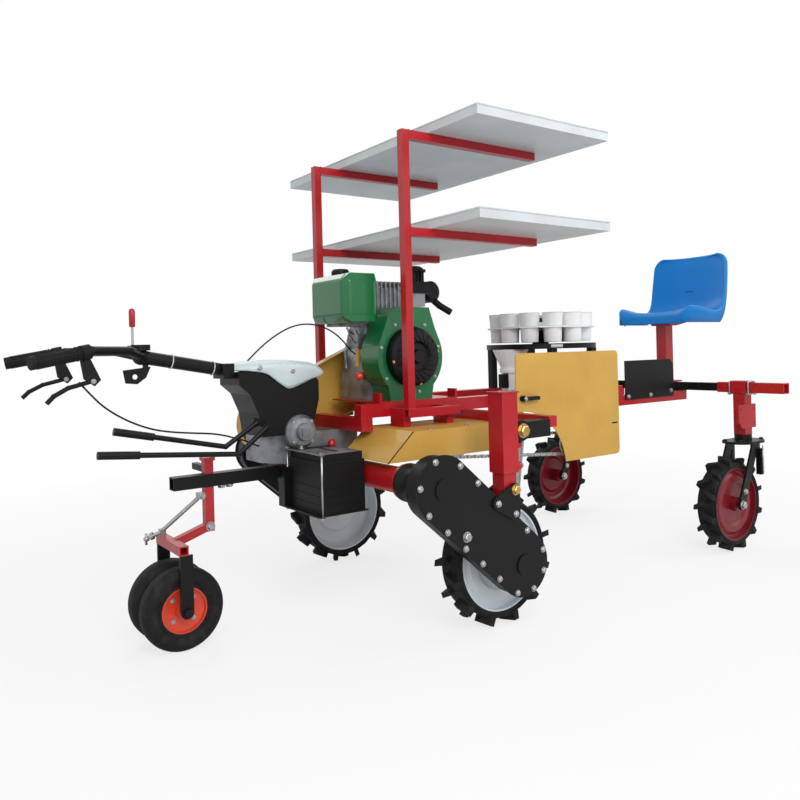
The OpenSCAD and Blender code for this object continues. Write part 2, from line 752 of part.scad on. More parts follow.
module hand_controls() color(black) both() {
    clamp_l = 28;
    clamp_wall = 8;
    lever_r = 7;
    plate_half = 8;
    grip_end_t = 8;
    along(grip_end, grip_start) difference() {
        cylinder(r = grip_r, h = grip_len);
        translate([0, 0, grip_end_t - fit]) cylinder(r = handle_r + fit, h = grip_len);
    }
    clamp = toward(handle_path[2], grip_end, 8);
    along(clamp, grip_end) difference() {
        cylinder(r = handle_r + clamp_wall, h = clamp_l);
        translate([0, 0, -1]) cylinder(r = handle_r + fit, h = clamp_l + 2);
    }
    low = clamp - [14, 0, handle_r + 6];
    side_plate(low[1] - plate_half, low[1] + plate_half) polygon([
        [low[0] - 14, low[2]], [low[0] + 14, low[2]], [low[0] + 44, low[2] - 66], [low[0] + 26, low[2] - 84], [low[0] - 4, low[2] - 62]
    ]);
    rod([low + [24, 0, -68], low + [-50, 8, -86], low + [-92, 16, -108], low + [-112, 20, -128]], lever_r);
}

module speed_lever() color(red) {
    stick_r = 4;
    stick_h = 66;
    knob_r = 9;
    knob_h = 58;
    foot = split + [-26, 0, neck_r + 18];
    translate(foot) cylinder(r = stick_r, h = stick_h);
    translate(foot + [0, 0, stick_h - weld]) rotate_extrude() polygon([
        [0, 0], [knob_r - 2, 0], [knob_r, knob_h - 8], [knob_r - 4, knob_h], [0, knob_h]
    ]);
}

module gear_levers() color(black) {
    // Each lever: tip, bend, pivot
    levers = [
        [[-1205, -75, 758], [-835, -96, 676], [-718, -104, 752]],
        [[-1268, -125, 692], [-800, -128, 650], [-690, -128, 735]]
    ];
    for (l = levers) {
        rod(l, 9);
        along(l[0], l[1]) cylinder(r = 13, h = 130);
        translate([l[2][0], l[2][1], l[2][2]]) rotate([-90, 0, 0]) cylinder(r = 15, h = -console_half - l[2][1]);
    }
}

// Battery

bat = [[-575, -315, 432], [-405, -72, 640]];
module battery() color(black) {
    box(bat[0], bat[1] - [0, 0, 30]);
    box([bat[0][0] + 5, bat[0][1] + 5, bat[1][2] - 30], [bat[1][0] - 5, bat[1][1] - 5, bat[1][2]]);
}

module battery_bracket() color(black) {
    t = 5;
    box([bat[0][0] - 25, bat[0][1] - t, bat[0][2] - t], [bat[1][0] + 10, bat[1][1], bat[0][2]]);
    box([bat[0][0] - 25, bat[1][1] + 2, bat[0][2] - t], [bat[0][0] + 10, -beam_s / 2, beam_z + beam_s / 2]);
    box([bat[0][0] - 25, bat[1][1], bat[0][2] - t], [bat[0][0] + 10, bat[1][1] + 2, bat[0][2]]);
}

// Guide wheels

beam_s = 45;
beam_z = 553;
guide_post_x = -866;
guide_post_s = 32;
cross_tube_z = 346;
fork_leg_t = 10;
leg_y = guide_gap / 2 + guide_tyre_w / 2 + 7;

module guide_beam() color(black) difference() {
    front = -996;
    back = -560;
    wall = 4;
    open = 120;
    translate([0, 0, beam_z]) bar_x(front, back, beam_s);
    translate([guide_post_x, 0, 0]) bar_z(beam_z - beam_s, beam_z + beam_s, guide_post_s + 2 * fit);
    translate([0, 0, beam_z]) bar_x(front - 1, front + open - 40, beam_s - 2 * wall);
}

// Post with its hinge, the swing arm and the cross tube with open ends
arm_s = 28;
module guide_post() color(red) difference() {
    low = 372;
    high = 626;
    knuckle_z = 390;
    tip = [-guide_x - 8, 0, cross_tube_z];
    wall = 4;
    reach = leg_y + fork_leg_t;
    union() {
        translate([guide_post_x, 0, 0]) bar_z(low, high, guide_post_s);
        along([guide_post_x, 0, knuckle_z], tip) bar_z(0, norm(tip - [guide_post_x, 0, knuckle_z]), arm_s);
        translate([tip[0], 0, cross_tube_z]) bar_y(-reach, reach, guide_post_s);
        translate([guide_post_x, 0, high - weld]) bar_z(0, 12, guide_post_s + 10);
    }
    for (s = [-1, 1])
        translate([tip[0], s * (reach - 20), cross_tube_z]) bar_y(-21, 21, guide_post_s - 2 * wall);
}

// Threaded link from the post to the cross tube's right end
module guide_link() color(steel) {
    x0 = guide_post_x - guide_post_s / 2;
    x1 = -guide_x - 8;
    z1 = cross_tube_z + guide_post_s / 2;
    link_r = 7;
    ear = 12;
    top_z = 500;
    far_y = leg_y - 30;
    nut_r = 13;
    rod([[x0 - ear + 2, 0, top_z], [x1 - 14, far_y, z1 + ear], [x1 - 52, far_y + 22, z1 - 6]], link_r);
    box([x0 - 2 * ear, -ear, top_z - ear], [x0, ear, top_z + ear]);
    box([x1 - 16, far_y - ear, z1], [x1 + 4, far_y + ear, z1 + 2 * ear]);
    along([x1 - 34, far_y + 11, z1 + 3], [x1 - 52, far_y + 22, z1 - 6]) cylinder(r = nut_r, h = 12);
}

module guide_fork() color(black) {
    both() side_plate(leg_y, leg_y + fork_leg_t) {
        slot([-guide_x, guide_r], [-guide_x, cross_tube_z - guide_post_s / 2 - 22], 22);
        translate([-guide_x - 22, cross_tube_z - guide_post_s / 2 - 22]) square([44, 22]);
    }
    translate([-guide_x, 0, guide_r]) rotate([-90, 0, 0]) translate([0, 0, -leg_y]) cylinder(r = guide_axle_r, h = 2 * leg_y);
}

// Seedling racks

arm_x1 = 470;
tray_x0 = -101;
upper_arm = rack_top - tray_h - tube_s / 2;

module rack_posts() color(red) both() translate([-post_x, post_y, 0]) difference() {
    foot = 25;
    wall = 4;
    open = 26;
    union() {
        bar_z(deck_z, rack_top - tray_h, tube_s);
        translate([0, 0, deck_z + tube_s / 2]) bar_x(0, post_x + foot, tube_s);
    }
    translate([-tube_s / 2 - 1, 0, deck_z + tube_s / 2]) bar_x(0, open, tube_s - 2 * wall);
}

module rack_arms() color(red) both() for (drop = [0, rack_pitch])
    translate([0, post_y, upper_arm - drop]) bar_x(-post_x + tube_s / 2, arm_x1, tube_s);

module tray(z) color(pale) translate([tray_x0, tray_shift - tray_w / 2, z]) difference() {
    cube([tray_l, tray_w, tray_h]);
    translate([tray_t, tray_t, tray_t]) cube([tray_l - 2 * tray_t, tray_w - 2 * tray_t, tray_h]);
}
module tray_upper() tray(rack_top - tray_h);
module tray_lower() tray(rack_top - tray_h - rack_pitch);

// Planter

funnel_x = carousel_x - cup_circle;
base_r = cup_circle + cup_r + 16;
upright_dx = 135;
ring_z = base_z + base_t + 74;
panel_bars = [460, 930];

module planter_frame() color(black) {
    for (dx = [-upright_dx, upright_dx])
        both() translate([carousel_x + dx, rail_y, 0]) bar_z(rail_top, base_z, tube_s);
    for (x = panel_bars)
        translate([x, 0, deck_z + tube_s / 2]) bar_y(-panel_y + panel_t / 2, -rail_out, tube_s);
    difference() {
        union() {
            translate([carousel_x, 0, base_z]) cylinder(r = base_r, h = base_t, $fn = 96);
            translate([carousel_x, 0, base_z]) cylinder(r = spindle_r, h = 150);
            translate([carousel_x, 0, base_z + base_t]) cylinder(r = spindle_r + 25, h = 50);
        }
        translate([funnel_x, 0, base_z - 1]) cylinder(r = cup_r, h = base_t + 2);
    }
}

panel_box = [[348, 490], [1008, 970]];
module side_panels() color(yellow) side_plate(-panel_y - panel_t / 2, -panel_y + panel_t / 2) difference() {
    x0 = panel_box[0][0];
    x1 = panel_box[1][0];
    z0 = panel_box[0][1];
    z1 = panel_box[1][1];
    r = 22;
    arch = [375, 455];
    arch_r = 270;
    step = [30, 235];
    slit = [[957, 631], [998, 638]];
    union() {
        translate([x0 + r, z0]) square([x1 - x0 - 2 * r, z1 - z0]);
        translate([x0, z0 + r]) square([x1 - x0, z1 - z0 - 2 * r]);
        for (x = [x0 + r, x1 - r], z = [z0 + r, z1 - r]) translate([x, z]) circle(r);
    }
    translate(arch) circle(arch_r, $fn = 96);
    translate([x0 - 1, z0 - 1]) square(step);
    translate(slit[0]) square(slit[1] - slit[0]);
}

// Turn handle that holds the side panel
module panel_latches() color(black) {
    pivot = [380, 780];
    tip = [458, 780];
    boss_r = 13;
    bar_r = 8;
    boss_t = 14;
    bar_t = 10;
    y = -panel_y - panel_t / 2;
    side_plate(y - boss_t, y) translate(pivot) circle(boss_r);
    side_plate(y - boss_t - bar_t, y - boss_t + weld) slot(pivot, tip, bar_r);
}

module drop_funnel() color(pale) translate([funnel_x, 0, 0]) rotate_extrude() polygon([
    [78, base_z], [42, base_z - 92], [42, base_z - 190], [45, base_z - 190], [45, base_z - 108], [54, base_z - 108],
    [54, base_z - 88], [47, base_z - 88], [82, base_z - 4], [82, base_z]
]);

module planting_beak() color(steel) translate([funnel_x, 0, 0]) {
    rotate_extrude() polygon([[50, 742], [50, 560], [10, 190], [13, 188], [54, 558], [54, 742]]);
    both() box([-20, 52, 715], [20, rail_out, deck_z]);
}

module carousel_ring() color(pale) translate([carousel_x, 0, 0]) {
    low = base_z + base_t + 8;
    lip = 5;
    difference() {
        union() {
            translate([0, 0, ring_z]) cylinder(r = cup_circle + cup_r + 8, h = 6, $fn = 96);
            translate([0, 0, ring_z - 10]) cylinder(r = 50, h = 40);
            for (i = [0 : cup_count - 1]) rotate(360 / cup_count * i) translate([cup_circle, 0, low])
                rotate_extrude() polygon([[0, 0], [cup_r - 3, 0], [cup_r, ring_z - low], [cup_r + lip, cup_h], [0, cup_h]]);
        }
        for (i = [0 : cup_count - 1]) rotate(360 / cup_count * i) translate([cup_circle, 0, low])
            rotate_extrude() polygon([
                [0, cup_wall], [cup_r - 3 - cup_wall, cup_wall], [cup_r - cup_wall, ring_z - low],
                [cup_r + lip - cup_wall, cup_h + 1], [0, cup_h + 1]
            ]);
        translate([0, 0, ring_z - 20]) cylinder(r = spindle_r + run, h = 100);
    }
}

// Rear end

core_s = bar_s - 2 * bar_wall - 2 * fit;
bar_mid = deck_z + bar_s / 2;
sleeve_in = 440;
post_s = 60;
post_low = 541;

module crossbar() color(red) both() translate([swivel_x, 0, bar_mid]) difference() {
    bar_y(sleeve_in, bar_half, bar_s);
    bar_y(sleeve_in - 1, bar_half + 1, bar_s - 2 * bar_wall);
}

module crossbar_core() color(black) translate([swivel_x, 0, bar_mid]) {
    bar_y(-bar_half + 170, bar_half - 170, core_s);
    for (y = [-rail_y, rail_y]) box([-40, y - 30, -bar_s / 2], [40, y + 30, -core_s / 2]);
}

plate_w = 150;
plate_h = 115;
plate_hole_x = 120;
plate_hole_z = 70;
plate_hole_r = 4.5;
plate_t = 8;
plate_z = 632;
plate_dx = -22;
module caster_posts() color(red) both() translate([swivel_x, rear_y, 0]) difference() {
    saddle = [36, 38, 8];
    corner = 26;
    bore_h = 81;
    face = post_s / 2;
    x0 = plate_dx - plate_w / 2;
    x1 = plate_dx + plate_w / 2;
    z0 = plate_z - plate_h / 2;
    z1 = plate_z + plate_h / 2;
    union() {
        bar_z(post_low, deck_z, post_s);
        box([-saddle[0], -saddle[1], deck_z], [saddle[0], saddle[1], deck_z + bar_s + saddle[2]]);
        difference() {
            side_plate(face - weld, face + plate_t)
                polygon([[x0, z0 + corner], [x0 + corner, z0], [x1, z0], [x1, z1], [x0, z1]]);
            for (dx = [-1, 1], dz = [-1, 1])
                translate([plate_dx + dx * plate_hole_x / 2, face - 2 * weld, plate_z + dz * plate_hole_z / 2]) rotate([-90, 0, 0])
                    cylinder(r = plate_hole_r, h = plate_t + 4 * weld);
        }
    }
    translate([0, 0, deck_z + bar_s / 2]) bar_y(-2 * post_s, 2 * post_s, bar_s + 2 * fit);
    translate([0, 0, post_low - 1]) cylinder(r = swivel_pin_r + run, h = bore_h);
}

fork_top = 500;
fork_t = 10;
fork_y = rear_tyre_w / 2 + 14;
module caster_fork(side) color(black) translate([swivel_x, side * rear_y, 0]) {
    axle = [-trail, rear_r];
    crown = 12;
    plate_r = 76;
    plate_half = 40;
    race_r = 40;
    pin_in = 60;
    leg_r = 24;
    // Stop block behind each leg
    block = [[4, fork_top - 150], [26 - fit, fork_top - 24]];
    block_t = 16;
    translate([0, 0, fork_top]) linear_extrude(crown) slot([-plate_half, 0], [plate_half, 0], plate_r);
    translate([0, 0, fork_top + crown - weld]) cylinder(r = race_r, h = post_low - fork_top - crown - fit + weld);
    translate([0, 0, fork_top + crown - weld]) cylinder(r = swivel_pin_r, h = post_low - fork_top + pin_in + weld);
    both() side_plate(fork_y, fork_y + fork_t) union() {
        slot(axle, [-20, fork_top - 20], leg_r);
        translate([-44, fork_top - 40]) square([70, 40 + weld]);
    }
    both() side_plate(fork_y, fork_y + fork_t + block_t) translate(block[0]) square(block[1] - block[0]);
    translate([-trail, 0, rear_r]) rotate([-90, 0, 0]) translate([0, 0, -fork_y - weld]) cylinder(r = rear_axle_r, h = 2 * (fork_y + weld));
}

module caster_fork_left() caster_fork(-1);
module caster_fork_right() caster_fork(1);

// Seat

seat_t = 9;
seat_x0 = rear_end - seat_d - seat_t;
// Side line of the seat's upper face: distance from the front, height above the underside, half width share
seat_line = [
    [0, 8, 0.74], [6, 52, 0.86], [40, 70, 0.96], [130, 60, 1], [230, 46, 1], [300, 62, 1], [342, 120, 1],
    [362, 220, 1], [376, 320, 0.98], [386, 375, 0.84]
];
bolster = 30;
seat_cols = 13;
seat_sub = 3;
seat_last = len(seat_line) - 1;

// Smooth curve through the side line's points
function bend(a, b, c, d, t) = (2 * b + (c - a) * t + (2 * a - 5 * b + 4 * c - d) * t * t
    + (3 * b - a - 3 * c + d) * t * t * t) / 2;
seat_rows = concat(
    [for (i = [0 : seat_last - 1], k = [0 : seat_sub - 1])
        bend(seat_line[max(i - 1, 0)], seat_line[i], seat_line[i + 1], seat_line[min(i + 2, seat_last)], k / seat_sub)],
    [seat_line[seat_last]]
);

function seat_dir(i) = let(
    a = seat_rows[max(i - 1, 0)], b = seat_rows[min(i + 1, len(seat_rows) - 1)],
    d = [b[0] - a[0], b[1] - a[1]]) [-d[1], d[0]] / norm(d);
function seat_pt(i, j, deep) = let(
    s = 2 * j / (seat_cols - 1) - 1, n = seat_dir(i), lift = bolster * pow(abs(s), 3) * min(1, 0.2 + 0.8 * i / (2 * seat_sub)) - deep,
    k = back_h / 375)
    [seat_x0 + (seat_rows[i][0] + n[0] * lift) * seat_d / 386,
     -seat_y + s * seat_rows[i][2] * seat_w / 2,
     seat_z + (seat_rows[i][1] + n[1] * lift) * k];

module seat() color(blue) {
    rows = len(seat_rows);
    size = rows * seat_cols;
    at = function(i, j, k) k * size + i * seat_cols + j;
    points = [for (deep = [0, seat_t], i = [0 : rows - 1], j = [0 : seat_cols - 1]) seat_pt(i, j, deep)];
    quads = concat(
        [for (i = [0 : rows - 2], j = [0 : seat_cols - 2]) [at(i, j, 0), at(i, j + 1, 0), at(i + 1, j + 1, 0), at(i + 1, j, 0)]],
        [for (i = [0 : rows - 2], j = [0 : seat_cols - 2]) [at(i + 1, j, 1), at(i + 1, j + 1, 1), at(i, j + 1, 1), at(i, j, 1)]],
        [for (i = [0 : rows - 2]) [at(i, 0, 1), at(i, 0, 0), at(i + 1, 0, 0), at(i + 1, 0, 1)]],
        [for (i = [0 : rows - 2]) [at(i + 1, seat_cols - 1, 1), at(i + 1, seat_cols - 1, 0), at(i, seat_cols - 1, 0), at(i, seat_cols - 1, 1)]],
        [for (j = [0 : seat_cols - 2]) [at(0, j + 1, 1), at(0, j + 1, 0), at(0, j, 0), at(0, j, 1)]],
        [for (j = [0 : seat_cols - 2]) [at(rows - 1, j, 1), at(rows - 1, j, 0), at(rows - 1, j + 1, 0), at(rows - 1, j + 1, 1)]]
    );
    tris = [for (q = quads) each [[q[0], q[2], q[1]], [q[0], q[3], q[2]]]];
    polyhedron(points, tris);
}

module seat_post() color(red) translate([swivel_x, -seat_y, 0]) {
    bar_z(bar_mid + core_s / 2, seat_z + 14, 60);
    carrier = [for (i = [2 * seat_sub : 4 * seat_sub]) seat_pt(i, (seat_cols - 1) / 2, seat_t + fit)];
    tail = carrier[len(carrier) - 1];
    for (y = [-55, 45]) translate([-swivel_x, seat_y, 0]) side_plate(-seat_y + y, -seat_y + y + 10) polygon(concat(
        [for (c = carrier) [c[0], c[2]]],
        [[tail[0], seat_z + 14], [swivel_x + 30, seat_z], [swivel_x - 30, seat_z], [carrier[0][0], seat_z + 40]]
    ));
    box([-30, -55, seat_z], [30, 55, seat_z + 14]);
    box([-36, -60, bar_mid + core_s / 2], [60, 60, bar_mid + core_s / 2 + 8]);
}

module guard_panels() color(black) both() side_plate(rail_y + rear_rail_s / 2, rail_y + rear_rail_s / 2 + 4) polygon([
    [1182, 722], [1575, 722], [1575, 890], [1550, 915], [1182, 915]
]);

// Cables

// Clutch cable: from the left hand lever down to the gearbox
clutch_route = [
    [-1330, -186, 925], [-1300, -182, 890], [-1262, -178, 850], [-1215, -174, 815], [-1160, -170, 785],
    [-1100, -164, 762], [-1035, -154, 748], [-965, -141, 738], [-900, -122, 729], [-845, -94, 717],
    [-795, -68, 702], [-742, -54, 684], [-690, -48, 660]
];
// Throttle cable: from the console's cap over to the engine's governor
throttle_route = [
    [-690, 40, 965], [-665, 36, 990], [-635, 32, 1018], [-600, 28, 1046], [-560, 24, 1072], [-515, 18, 1094],
    [-465, 12, 1106], [-415, 4, 1104], [-370, -4, 1090], [-330, -12, 1066], [-296, -18, 1034], [-268, -22, 1000],
    [-211, -24, 960]
];
cable_r = 3;

// Tube of eight sides along a route's own points
module cable(route, r) {
    sides = 8;
    n = len(route);
    heading = function(i) let(d = route[min(i + 1, n - 1)] - route[max(i - 1, 0)]) d / norm(d);
    across = function(i) let(h = heading(i), s = cross(h, [0, 1, 0])) s / norm(s);
    points = [for (i = [0 : n - 1], k = [0 : sides - 1])
        let(a = across(i), b = cross(heading(i), a)) route[i] + r * (cos(360 / sides * k) * a + sin(360 / sides * k) * b)];
    walls = [for (i = [0 : n - 2], k = [0 : sides - 1]) let(
        k2 = (k + 1) % sides, a = i * sides + k, b = i * sides + k2, c = a + sides, d = b + sides) each [[a, c, b], [b, c, d]]];
    ends = [[for (k = [0 : sides - 1]) k], [for (k = [0 : sides - 1]) n * sides - 1 - k]];
    polyhedron(points, concat(walls, ends));
}

module clutch_cable() color(black) cable(clutch_route, cable_r);
module throttle_cable() color(black) cable(throttle_route, cable_r);

place() chassis_rails();
place() chassis_cross();
place() crankcase();
place() blower_housing();
place() recoil_starter();
place() cylinder_head();
place() fuel_tank();
place() air_cleaner();
place() muffler();
place() gearbox();
place() axle_housings();
place() belt_guard();
place() chain_guard();
place() chain_cases();
place() height_columns();
place() column_arms();
place() console();
place() console_cap();
place() handlebar();
place() hand_controls();
place() speed_lever();
place() gear_levers();
place() battery();
place() battery_bracket();
place() guide_beam();
place() guide_post();
place() guide_link();
place() guide_fork();
place() guide_rims();
place() guide_tyres();
place() rack_posts();
place() rack_arms();
place() tray_upper();
place() tray_lower();
place() planter_frame();
place() side_panels();
place() drop_funnel();
place() planting_beak();
place() carousel_ring();
place() crossbar();
place() crossbar_core();
place() caster_posts();
place() caster_fork_left();
place() caster_fork_right();
place() rear_disc_left();
place() rear_disc_right();
place() rear_tyre_left();
place() rear_tyre_right();
place() drive_disc_left();
place() drive_disc_right();
place() drive_tyre_left();
place() drive_tyre_right();
place() seat();
place() seat_post();
place() guard_panels();
place() drive_chain();
place() panel_latches();
place() clutch_cable();
place() throttle_cable();
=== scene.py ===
"""Looks of a walk-behind seedling transplanter, laid out as an add-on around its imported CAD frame."""
import json
import math

import bmesh
import bpy
from bpy.props import FloatProperty, FloatVectorProperty, PointerProperty
from mathutils import Matrix, Vector


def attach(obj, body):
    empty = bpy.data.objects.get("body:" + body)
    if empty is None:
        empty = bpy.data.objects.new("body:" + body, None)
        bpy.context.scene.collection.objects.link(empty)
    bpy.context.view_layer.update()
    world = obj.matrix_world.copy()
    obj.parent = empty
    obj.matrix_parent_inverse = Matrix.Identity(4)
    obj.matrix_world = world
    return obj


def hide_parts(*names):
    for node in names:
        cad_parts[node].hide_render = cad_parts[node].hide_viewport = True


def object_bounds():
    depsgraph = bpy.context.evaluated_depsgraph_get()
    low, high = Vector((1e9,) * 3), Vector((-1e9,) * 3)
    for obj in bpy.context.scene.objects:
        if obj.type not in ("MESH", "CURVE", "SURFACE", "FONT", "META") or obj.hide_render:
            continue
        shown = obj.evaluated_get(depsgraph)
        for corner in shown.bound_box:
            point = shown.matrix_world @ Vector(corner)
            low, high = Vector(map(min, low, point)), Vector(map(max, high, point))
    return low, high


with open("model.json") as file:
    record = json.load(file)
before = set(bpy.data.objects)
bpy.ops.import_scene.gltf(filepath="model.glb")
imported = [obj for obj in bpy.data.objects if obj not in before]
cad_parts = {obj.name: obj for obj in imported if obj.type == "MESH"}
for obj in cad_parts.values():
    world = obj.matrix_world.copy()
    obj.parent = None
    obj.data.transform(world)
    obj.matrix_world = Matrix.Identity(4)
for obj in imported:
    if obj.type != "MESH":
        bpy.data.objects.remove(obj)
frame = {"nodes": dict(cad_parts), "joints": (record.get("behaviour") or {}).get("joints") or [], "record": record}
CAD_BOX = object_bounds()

bl_info = {
    "name": "Seedling Transplanter Looks",
    "version": (1, 0, 0),
    "blender": (4, 5, 0),
    "location": "3D View > Sidebar > Transplanter",
    "description": "Finishes, hardware, cables and a studio for a seedling transplanter",
    "category": "Object",
}

NODES = frame["nodes"]
JOINTS = {joint["name"]: Vector(joint["pos_m"]) for joint in frame["joints"]}
BODY_OF = {node: body for body, nodes in frame["record"]["behaviour"]["bodies"].items() for node in nodes}
SLOT_OF = {row["node"]: row["material_slot"] for row in frame["record"]["subparts"]}
AXLE = JOINTS["drive_wheel_left_axle"]
MM = 0.001

SIDES = (-1, 1)
LEFT, RIGHT = Vector((0, -1, 0)), Vector((0, 1, 0))
UP, DOWN = Vector((0, 0, 1)), Vector((0, 0, -1))
FORWARD, BACKWARD = Vector((-1, 0, 0)), Vector((1, 0, 0))
FLIP = Vector((1, -1, 1))
# Usual rounding of a block's edges, in millimetres
BEVEL = 1.5


def at(x, y, z):
    """Point of the machine, in millimetres from the drive axle's line, as metres in the frame."""
    return Vector((AXLE.x + x * MM, y * MM, z * MM))


def places(points):
    return [at(*point) for point in points]


def polar(middle, radius, turn):
    """Two coordinates of a point on a circle, at an angle in radians."""
    return middle[0] + radius * math.cos(turn), middle[1] + radius * math.sin(turn)


def linear(red, green, blue):
    """Screen colour, 0 to 255, as linear light."""
    def channel(value):
        value /= 255
        return value / 12.92 if value <= 0.04045 else ((value + 0.055) / 1.055) ** 2.4
    return (channel(red), channel(green), channel(blue))


# Settings that a user would change

# Fitted view: focal length and horizon in pixels, side of the picture, and width of the sensor in millimetres
FOCAL_PX, HORIZON_PX, PICTURE_PX, SENSOR_MM = 749.6, 349.2, 800, 36


def colour_setting(name, description, red, green, blue):
    return FloatVectorProperty(name=name, description=description, subtype="COLOR", size=3, min=0, max=1,
                               default=linear(red, green, blue))


def length_setting(name, description, default):
    return FloatProperty(name=name, description=description, unit="LENGTH", min=0, default=default)


class PaintSettings(bpy.types.PropertyGroup):
    """Colours of the paints, plastics and metals"""

    red: colour_setting("Red", "Frame paint", 176, 18, 28)
    yellow: colour_setting("Yellow", "Paint of the guards and side panels", 206, 162, 72)
    green: colour_setting("Green", "Paint of the engine's shroud and tank", 6, 104, 54)
    black: colour_setting("Black", "Satin paint of the cases, handlebar and forks", 13, 13, 15)
    plastic: colour_setting("Black plastic", "Battery, starter and air cleaner", 12, 12, 14)
    alloy: colour_setting("Alloy", "Bare castings of the engine and gearbox", 150, 154, 160)
    steel: colour_setting("Bright steel", "Bolts, rods and the planting beak", 176, 176, 174)
    sheet: colour_setting("Grey sheet", "Sheet of the seedling trays", 204, 211, 214)
    pale: colour_setting("Pale plastic", "Console cap and ties", 204, 218, 221)
    # Whiter than the pale plastic: partly the cups' own white, partly painted light that lifts the cups and funnel
    # out of the trays' shade
    cup: colour_setting("Cup white", "Cups and funnel", 240, 242, 244)
    disc: colour_setting("Pale discs", "Drive wheel discs", 212, 222, 228)
    dark_red: colour_setting("Dark red", "Rear wheel discs", 122, 14, 28)
    orange: colour_setting("Orange", "Guide wheel rims", 220, 66, 38)
    tyre: colour_setting("Tyre", "Tyre rubber", 19, 20, 22)
    seat: colour_setting("Seat blue", "Moulded seat shell", 4, 124, 204)
    gold: colour_setting("Gold zinc", "Yellow plating of the larger bolts", 196, 164, 104)
    dust: colour_setting("Dust", "Fine dry soil that settles on the machine", 150, 138, 120)


class HardwareSizes(bpy.types.PropertyGroup):
    """Sizes of the bolts, cables, ribs, welds, hems and moulded walls"""

    bolt_radius: length_setting("Bolt head", "Half the width over the corners of an M10 hex head", 0.0092)
    bolt_height: length_setting("Head height", "Height of an M10 hex head", 0.0065)
    washer_radius: length_setting("Washer", "Radius of a washer under an M10 head", 0.0112)
    washer_height: length_setting("Washer thickness", "Thickness of that washer", 0.0018)
    cable_radius: length_setting("Cable", "Radius of a control cable's sheath", 0.003)
    rib_pitch: length_setting("Ring pitch", "Distance between the rings at a hand grip's inner end", 0.0072)
    rib_radius: length_setting("Ridge", "Radius of a lengthwise ridge of a hand grip", 0.0014)
    thread_pitch: length_setting("Thread pitch", "Distance between the turns of the link's thread", 0.003)
    bead_pitch: length_setting("Weld pitch", "Distance between the ripples of a weld", 0.0034)
    bead_radius: length_setting("Weld", "Radius of a weld bead", 0.0027)
    hem_radius: length_setting("Tray hem", "Radius of the rolled edge of a seedling tray", 0.0032)
    seat_wall: length_setting("Seat wall", "Thickness of the moulded seat", 0.0055)
    seat_roll: length_setting("Seat roll", "Radius of the seat's rolled edge", 0.009)
    cap_wall: length_setting("Cap wall", "Thickness of the console's cap", 0.003)


class StageSettings(bpy.types.PropertyGroup):
    """Camera and studio"""

    lens: FloatProperty(name="Lens", description="Focal length for a 36 mm wide sensor",
                        default=FOCAL_PX / PICTURE_PX * SENSOR_MM)
    azimuth: FloatProperty(name="Azimuth", description="Turn of the view from straight along +Y", unit="ROTATION",
                           default=math.radians(35.66))
    roll: FloatProperty(name="Roll", description="Tilt of the picture", unit="ROTATION", default=0.0253)
    shift: FloatProperty(name="Shift", description="Vertical shift of the lens",
                         default=(HORIZON_PX - PICTURE_PX / 2) / PICTURE_PX)
    camera_place: FloatVectorProperty(name="Camera", description="Camera's place from the drive axle's line",
                                      subtype="TRANSLATION", default=(-1.8561, -2.5743, 1.0))
    floor_size: length_setting("Floor", "Side of the floor", 60.0)
    fade_start: length_setting("Fade start", "Distance at which the floor starts to fade to white", 1.6)
    fade_end: length_setting("Fade end", "Distance at which the floor is white", 4.2)
    near_glow: FloatProperty(name="Near glow", description="White that the floor shows close to the machine",
                             subtype="FACTOR", default=0.76)
    sky: FloatProperty(name="Sky", description="Strength of the soft light from all round", default=0.46)
    key: FloatProperty(name="Key", description="Power of the large lamp", unit="POWER", default=125)
    fill: FloatProperty(name="Fill", description="Power of the fill and back lamps", unit="POWER", default=48)


# Node trees by expressions

class Term:
    """A node's output socket that takes part in Python expressions"""

    def __init__(self, nodes, socket):
        self.nodes = nodes
        self.socket = socket

    def calc(self, operation, left, right):
        return self.nodes.add("ShaderNodeMath", {0: left, 1: right}, operation=operation)

    def __add__(self, other):
        return self.calc("ADD", self, other)

    def __mul__(self, other):
        return self.calc("MULTIPLY", self, other)

    def __truediv__(self, other):
        return self.calc("DIVIDE", self, other)

    def __rsub__(self, other):
        return self.calc("SUBTRACT", other, self)

    def largest(self, other):
        return self.calc("MAXIMUM", self, other)


class Nodes:
    """A node tree that grows by expressions"""

    def __init__(self, tree):
        self.tree = tree

    def add(self, kind, inputs=None, output=0, **settings):
        """Any node: its settings are set first, then the values or links of its sockets"""
        node = self.tree.nodes.new(kind)
        for key, value in settings.items():
            setattr(node, key, value)
        for key, value in (inputs or {}).items():
            for item in value if isinstance(value, list) else [value]:
                self.feed(node.inputs[key], item)
        return Term(self, node.outputs[output])

    def feed(self, socket, value):
        if isinstance(value, Term):
            self.tree.links.new(value.socket, socket)
        elif socket.type == "RGBA" and len(value) == 3:
            socket.default_value = (*value, 1)
        else:
            socket.default_value = value


